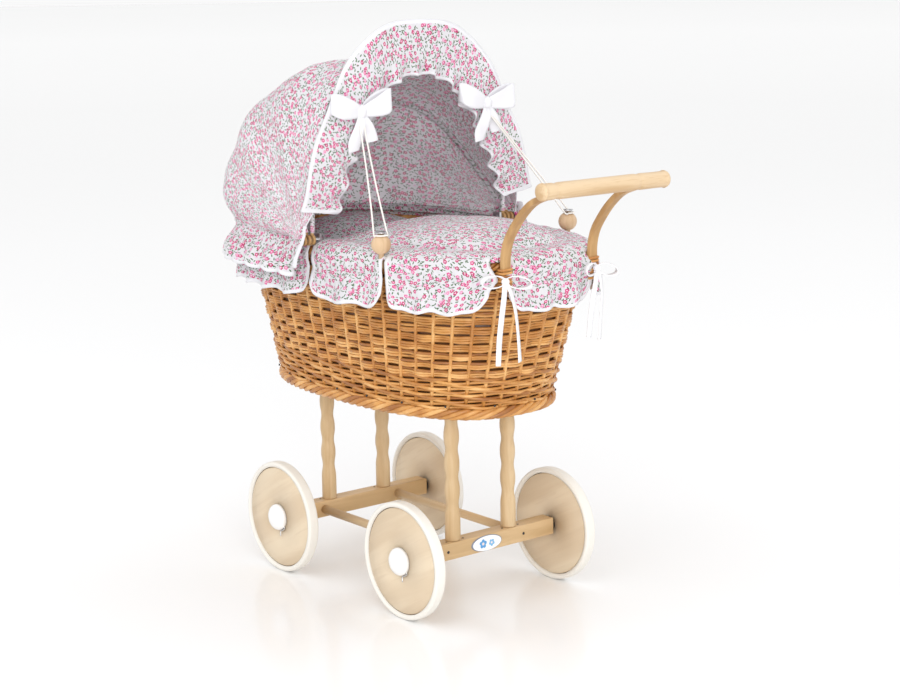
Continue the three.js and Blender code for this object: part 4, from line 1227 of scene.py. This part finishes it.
# A panel that hangs outside the rim between two slits; each end is at an "arm", a "knob" or the "pivot"
def makePanel(name, start, end, kinds, seed, replaced=()):
    length = (end - start) * around / mm
    columns = max(24, int(length / 2.2))
    first = skirt["hangStart"]
    drop = skirt["drop"] - first
    edge = skirt["binding"] / length
    u0 = stops(columns, edge, edge)
    v0 = stops(36, 0, skirt["binding"] / drop)
    waves = max(1, round(length / 46))

    def gapAt(kind, way):   # half the slit's width on the way down
        if kind == "arm":
            return between([(46, skirt["armHalf"]), (skirt["tieAt"], skirt["tieHalf"]), (75, 9), (102, 14)], way)
        return skirt["knobHalf"] + 2.5 * smooth((way - 62) / 40)

    def place(u, v):
        fromEnd = min(u, 1 - u) * length
        corner = max(0, 1 - fromEnd / skirt["corner"])
        rise = 20 * (1 - sqrt(max(0, 1 - corner ** 2)))
        rise += 4.5 * (0.5 - 0.5 * cos(u * waves * 2 * pi + seed)) * (1 - corner)
        way = first + v * (drop - rise)
        low = smooth((way - skirt["gatherAt"]) / 30)
        trim = [gapAt(kind, way) * mm / around for kind in kinds]
        share = mix(start + trim[0], end - trim[1], u)
        wave = skirt["hemWave"] * low * sin(u * waves * 2 * pi + seed + 0.8 * wobble(u * 5, seed))
        fold = skirt["gather"] * sin(u * length / skirt["gatherPitch"] * 2 * pi + 2.5 * wobble(u * 9, seed, 2))
        fold *= smooth((way - 42) / 14) * (1 - 0.75 * smooth((way - skirt["gatherAt"] - 4) / 24))
        under = -2.6 * (1 - smooth((way - first) / 6))
        return clothPoint(share, way, under + 0.9 + max(wave, -3.0) + fold + 0.5 * wobble(u * length / 13, v * 4, seed))

    last, bottom = len(u0) - 2, len(v0) - 2
    obj = sheetGrid(name, u0, v0, place, (length * mm, drop * mm), [paint["print"], paint["binding"]],
                    lambda i, j: 1 if i == 0 or i == last or j == bottom else 0)
    soften(obj)
    thicken(obj, skirt["thickness"] * mm, offset=0)
    applyAll(obj)
    finished(obj, "root", "floral_cotton", *replaced)


def makeSkirt():
    knobFoot, armFoot = slitShares[0], slitShares[2]
    pivotFoot, pivotHead = shareAtX(skirt["pivotX"], 1), shareAtX(-skirt["pivotX"], 1)
    makePanel("skirt_end_panel", -armFoot, armFoot, ("arm", "arm"), 0.4, replaced=("liner_skirt",))
    for side, sign in sides:
        for part, low, high, kinds, seed in (("rear", armFoot, knobFoot, ("arm", "knob"), 1.3),
                                             ("middle", knobFoot, pivotFoot, ("knob", "pivot"), 2.6)):
            spans = (low, high, kinds) if sign > 0 else (-high, -low, kinds[::-1])
            makePanel(f"skirt_{side}_{part}_panel", *spans, seed + sign)
    makePanel("skirt_head_panel", pivotHead, 1 - pivotHead, ("pivot", "pivot"), 5.1)


makeCoverlet()
makeSkirt()
print("coverlet and skirt sewn")


# ---- hood
hood = {   # degrees and mm; reach is the cover's distance from the pivot line along its crown
    "reach": [(84, 200.5), (96, 201), (108.5, 205.5), (122, 208), (138.5, 214), (150, 221), (165, 245), (174, 263),
              (180, 266)],
    "squareness": [(84, 3.2), (108.5, 4.3), (138.5, 5.1), (180, 3)],
    "halfWidth": [(84, 150), (120, 157), (165, 158), (180, 151)],
    "columns": 132, "rows": 66, "thickness": 1.2, "front": 18.5, "corner": 40,
    "pivotFlare": 10, "flareReach": 48,
    "hoops": (("front", 86, "hood_front"), ("mid", 108.5, "hood_mid"), ("rear", 138.5, "root")),
    "hoopPower": {"front": 3.2, "mid": 4.2, "rear": 5}, "hoopRadius": 2, "casing": 2.9, "eyeClear": 8,
}
pivotZ = pivot.z / mm


# Points evenly spaced over an arch from -Y to +Y, as (sideways, rise)
def archLine(halfWidth, rise, power, count):
    fine = []
    for i in range(401):
        a = pi * (1 - i / 400)
        c, s = cos(a), max(sin(a), 0)
        fine.append((halfWidth * (1 if c > 0 else -1) * abs(c) ** (2 / power), rise * s ** (2 / power)))
    walked = [0.0]
    for (y0, z0), (y1, z1) in zip(fine, fine[1:]):
        walked.append(walked[-1] + sqrt((y1 - y0) ** 2 + (z1 - z0) ** 2))
    line, k = [], 0
    for i in range(count + 1):
        wanted = walked[-1] * i / count
        while k < 399 and walked[k + 1] < wanted:
            k += 1
        share = (wanted - walked[k]) / max(walked[k + 1] - walked[k], 1e-9)
        line.append((mix(fine[k][0], fine[k + 1][0], share), mix(fine[k][1], fine[k + 1][1], share)))
    return line


def hoodPlace(sideways, radius, degrees):
    a = radians(degrees)
    return at(radius * cos(a), sideways, pivotZ + radius * sin(a))


def degreesOf(x, z):
    return atan2(z, x) * 180 / pi


def makeHoodCover():
    across, down = hood["columns"], hood["rows"]
    arches = []
    for j in range(down + 1):
        degrees = mix(84, 180, j / down)
        arches.append((degrees, archLine(between(hood["halfWidth"], degrees), between(hood["reach"], degrees),
                                         between(hood["squareness"], degrees), across)))

    def frontEdge(radius):   # up the brim's back, and low down slanting back to the pivot
        steep = degreesOf(hood["front"], sqrt(max(radius, hood["corner"]) ** 2 - hood["front"] ** 2))
        if radius >= hood["corner"]:
            return steep
        return mix(58, steep, max(radius, 0) / hood["corner"])

    def place(u, v):
        degrees, line = arches[round(v * down)]
        sideways, radius = line[round(u * across)]
        degrees = mix(frontEdge(radius), 180, v)
        low = 1 - smooth(abs(radius) / 90)
        tall = smooth(radius / 60)
        hoopPull = min(abs(degrees - 108.5), abs(degrees - 138.5), abs(degrees - 84))
        sag = -3.4 * smooth(hoopPull / 14) * tall * smooth(1 - (degrees - 150) / 20)
        s = u * 560
        pucker = 1.5 * sin(s / 5.5 + 3 * wobble(s / 60, v * 3)) * smooth((degrees - 152) / 24)
        crease = 2.4 * wobble(s / 46, v * 5.5, 1.5) + 1.1 * wobble(s / 17, v * 13, 4)
        drape = 1.6 * sin(v * 40 + 2 * wobble(s / 80, v * 2, 7)) * low * smooth((degrees - 95) / 20)
        out = sag + (crease + pucker) * (0.35 + 0.65 * tall) + drape * 0.6
        scale = 1 + out / 210
        tuckIn = 1 - 0.055 * smooth((degrees - 168) / 12) ** 1.5
        wide = sideways * (scale if abs(sideways) > 60 else 1) * tuckIn
        flare = hood["pivotFlare"] * (1 - smooth(abs(radius) / hood["flareReach"])) * (1 - v)
        return hoodPlace(wide + flare * (1 if wide > 0 else -1), radius * scale * tuckIn, degrees)

    columns, rows = stops(across), stops(down)
    obj = sheetGrid("hood_cover", columns, rows, place, (0.59, 0.36),
                    [paint["print"], paint["wrong"], paint["binding"]],
                    lambda i, j: 2 if j == 0 and (i < 18 or i > across - 19) else 0)
    soften(obj)
    thicken(obj, hood["thickness"] * mm, innerSlot=1, offset=1)
    applyAll(obj)
    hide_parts("hood_front_panel", "hood_mid_panel", "hood_rear_panel")
    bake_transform(obj)


# Cloth channels round the bent hoops, each riding with its own hoop
def makeCasings():
    for label, degrees, body in hood["hoops"]:
        hoop = nodes[f"hood_{label}_hoop"]
        half = max(abs(vert.co.y) for vert in hoop.data.vertices) / mm - hood["hoopRadius"]
        reach = max((vert.co - pivot).xz.length for vert in hoop.data.vertices) / mm - hood["hoopRadius"]
        line = archLine(half, reach, hood["hoopPower"][label], 72)
        path = [hoodPlace(sideways, radius, degrees) for sideways, radius in line if radius > hood["eyeClear"]]
        casing = rods(f"hood_{label}_casing", [(path, hood["casing"] * mm, 0)], [paint["casing"]])
        finished(casing, body, "floral_cotton")


brim = {   # mm
    "outerHalf": 172, "outerRise": 207, "outerPower": 2.9, "outerFoot": 460,
    "innerHalf": 120, "innerRise": 150, "innerPower": 2.4, "innerFoot": 453,
    "frill": 14, "frillWave": 6.5, "frillPitch": 27, "binding": 5, "thickness": 1.2, "columns": 220,
}


def makeBrim():
    low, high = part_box("hood_brim")
    middle = (low.x + high.x) / 2
    across = brim["columns"]

    def arch(half, rise, power, foot):
        fine = []
        for i in range(601):
            t = cos(pi * (1 - i / 600))
            fine.append(Vector((0, half * t, foot + rise * (1 - abs(t) ** power))))
        walked = [0.0]
        for a, b in zip(fine, fine[1:]):
            walked.append(walked[-1] + (b - a).length)
        line, k = [], 0
        for i in range(across + 1):
            wanted = walked[-1] * i / across
            while k < 599 and walked[k + 1] < wanted:
                k += 1
            line.append(fine[k].lerp(fine[k + 1], (wanted - walked[k]) / max(walked[k + 1] - walked[k], 1e-9)))
        return line, walked[-1]

    outer, outerLength = arch(brim["outerHalf"], brim["outerRise"], brim["outerPower"], brim["outerFoot"])
    inner, innerLength = arch(brim["innerHalf"], brim["innerRise"], brim["innerPower"], brim["innerFoot"])
    width = 58
    bind = brim["binding"] / width
    v0 = [0.0, bind * 0.7] + [mix(bind * 0.7, 1 - bind, i / 20) for i in range(1, 21)] + [1.0]

    def place(u, v):
        k = round(u * across)
        point = inner[k].lerp(outer[k], v)
        frill = smooth(1 - v * width / brim["frill"] / 1.4)
        s = u * innerLength
        wave = brim["frillWave"] * sin(s / brim["frillPitch"] * 2 * pi + 1.8 * wobble(s / 40)) * frill
        gather = 0.8 * sin(s / 6.5 * 2 * pi) * smooth(1 - abs(v * width - 14) / 16)
        soft = 2.2 * wobble(s / 55, v * 1.6, 2) + 1.0 * wobble(s / 20, v * 4, 5)
        edgeWave = 2.0 * sin(u * 37) * smooth((v - 0.6) / 0.4)
        belly = 3.0 * sin(pi * v)
        toward = (outer[k] - inner[k]).normalized()
        shift = toward * (1.5 * sin(s / brim["frillPitch"] * 2 * pi + 1.2) * frill)
        return Vector((middle + (wave + gather + soft + belly + edgeWave + 1.0) * mm, 0, 0)) + (point + shift) * mm

    last = len(v0) - 2
    obj = sheetGrid("hood_brim_ruffle", stops(across), v0, place, (outerLength * mm, width * mm),
                    [paint["print"], paint["binding"]],
                    lambda i, j: 1 if j in (0, last) or i in (0, 1, across - 1, across - 2) else 0)
    soften(obj)
    thicken(obj, brim["thickness"] * mm, offset=0)
    applyAll(obj)
    finished(obj, "hood_front", "floral_cotton", "hood_brim")


ruffle = {"fall": [(0, 9, 428), (8, 12, 424), (14, 12.5, 419), (24, 17, 410), (40, 25, 396), (52, 29, 385)],
          "wave": 5.0, "pitch": 34, "binding": 5, "from": 15,
          "pivotOut": 15, "pivotLift": 15, "pivotSpan": 55}   # mm


# The gathered frill under the hood, round the head end
def makeRuffle():
    start = shareAtX(ruffle["from"], 1)
    end = 1 - start
    length = (end - start) * around / mm
    columns = int(length / 2.4)
    drop = ruffle["fall"][-1][0]
    edge = ruffle["binding"] / length
    v0 = stops(22, 0, ruffle["binding"] / drop)
    u0 = stops(columns, edge, edge)

    def place(u, v):
        way = v * drop
        line = ruffle["fall"]
        offset = between([(s, o) for s, o, _ in line], way)
        z = between([(s, h) for s, _, h in line], way)
        s = u * length
        low = smooth((way - 12) / 36)
        wave = ruffle["wave"] * low * sin(s / ruffle["pitch"] * 2 * pi + 2.2 * wobble(s / 70))
        fold = 1.1 * sin(s / 7.5 * 2 * pi + 2 * wobble(s / 30, 4)) * (1 - 0.7 * low) * smooth(way / 8)
        fromEnd = min(u, 1 - u) * length
        rise = 12 * smooth(1 - fromEnd / 24) * v + 2.5 * low * sin(s / ruffle["pitch"] * 2 * pi + 1.5)
        nearPivot = 1 - smooth(fromEnd / ruffle["pivotSpan"])
        offset += ruffle["pivotOut"] * nearPivot * (1 - 0.45 * v)
        rise += ruffle["pivotLift"] * nearPivot * (1 - v)
        return basketPoint(angleAt(mix(start, end, u)), offset + wave + fold, z + rise)

    last, bottom = len(u0) - 2, len(v0) - 2
    obj = sheetGrid("hood_frill", u0, v0, place, (length * mm, drop * mm), [paint["print"], paint["binding"]],
                    lambda i, j: 1 if i == 0 or i == last or j == bottom else 0)
    soften(obj)
    thicken(obj, 0.9 * mm, offset=0)
    applyAll(obj)
    finished(obj, "root", "floral_cotton", "hood_flounce")


# ---- satin bows
bow = {"span": 38, "width": 33, "waist": 8, "depth": 16, "tilt": 8, "lift": (0.24, 0.34),
       "tails": [(-13, -44, 17), (11, -34, 15)],
       "thickness": 0.7}   # mm


def loopWidth(u):   # fullest on the way out and back, drawn in at the turn
    return sin(u * pi) ** 0.9 * (1 - 0.42 * exp(-((u - 0.5) / 0.12) ** 2))


def makeBow(side, sign):
    low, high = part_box(side + "_bow")
    centre = Vector((low.x + 0.0085, (low.y + high.y) / 2, high.z - 0.013))
    tilt = radians(bow["tilt"])
    normal = Vector((cos(tilt), -sin(tilt), 0))
    level = Vector((sin(tilt), cos(tilt), 0))
    up = Vector((0, 0, 1))
    pieces = []
    for way in (-1, 1):
        lift = bow["lift"][0] if way * sign > 0 else bow["lift"][1]
        line = []
        for i in range(37):
            turn = i / 36 * 2 * pi
            away = bow["span"] * ((1 - cos(turn)) / 2) ** 0.8 * mm
            swell = bow["depth"] / 2 * sin(turn) * mm * (0.4 + 0.6 * sin(turn / 2))
            line.append(centre + level * way * away + normal * (swell + 0.002) + up * away * lift)
        pieces.append(ribbon(
            "loop", line, lambda u: (bow["waist"] + (bow["width"] - bow["waist"]) * loopWidth(u)) * mm,
            lambda u: (up + level * way * 0.10 * sin(u * 2 * pi) + normal * 0.22 * sin(u * 4 * pi)).normalized(),
            bow["thickness"] * mm, paint["satin"], rows=8))
    for shift, fall, wide in bow["tails"]:
        line = route([centre + normal * 0.002,
                      centre + level * shift * 0.35 * mm + up * fall * 0.35 * mm + normal * 0.006,
                      centre + level * shift * 0.8 * mm + up * fall * 0.75 * mm + normal * 0.0045,
                      centre + level * shift * mm + up * fall * mm + normal * 0.006], 20)
        pieces.append(ribbon("tail", line, lambda u: (bow["waist"] + (wide - bow["waist"]) * smooth(u * 1.6)) * mm,
                             lambda u: (level + normal * 0.35 * sin(u * 5 + shift) + up * 0.15).normalized(),
                             bow["thickness"] * mm, paint["satin"], rows=6))
    bm = bmesh.new()
    bmesh.ops.create_uvsphere(bm, u_segments=20, v_segments=14, radius=1)
    for vert in bm.verts:
        x, y, z = vert.co * 1.0
        bulge = 1 + 0.06 * sin(z * 9)
        vert.co = centre + normal * (x * 0.0068 * bulge + 0.0015) + level * y * 0.0062 * bulge + up * z * 0.0082
    pieces.append(meshObject("knot", bm, [paint["satin"]]))
    finished(joined(side + "_ribbon_bow", pieces), "hood_front", "satin_ribbon", side + "_bow")


makeHoodCover()
makeCasings()
makeBrim()
makeRuffle()
for side, sign in sides:
    makeBow(side, sign)
print("hood sewn")


for name, node in nodes.items():   # CAD parts that stay get their finish here
    finish = {"axle": "steel", "washer": "iron", "bracket": "steel", "pin": "steel", "hoop": "arm",
              "board": "board"}.get(name.split("_")[-1])
    if finish and not node.hide_render:
        node.data.materials.clear()
        node.data.materials.append(paint[finish])
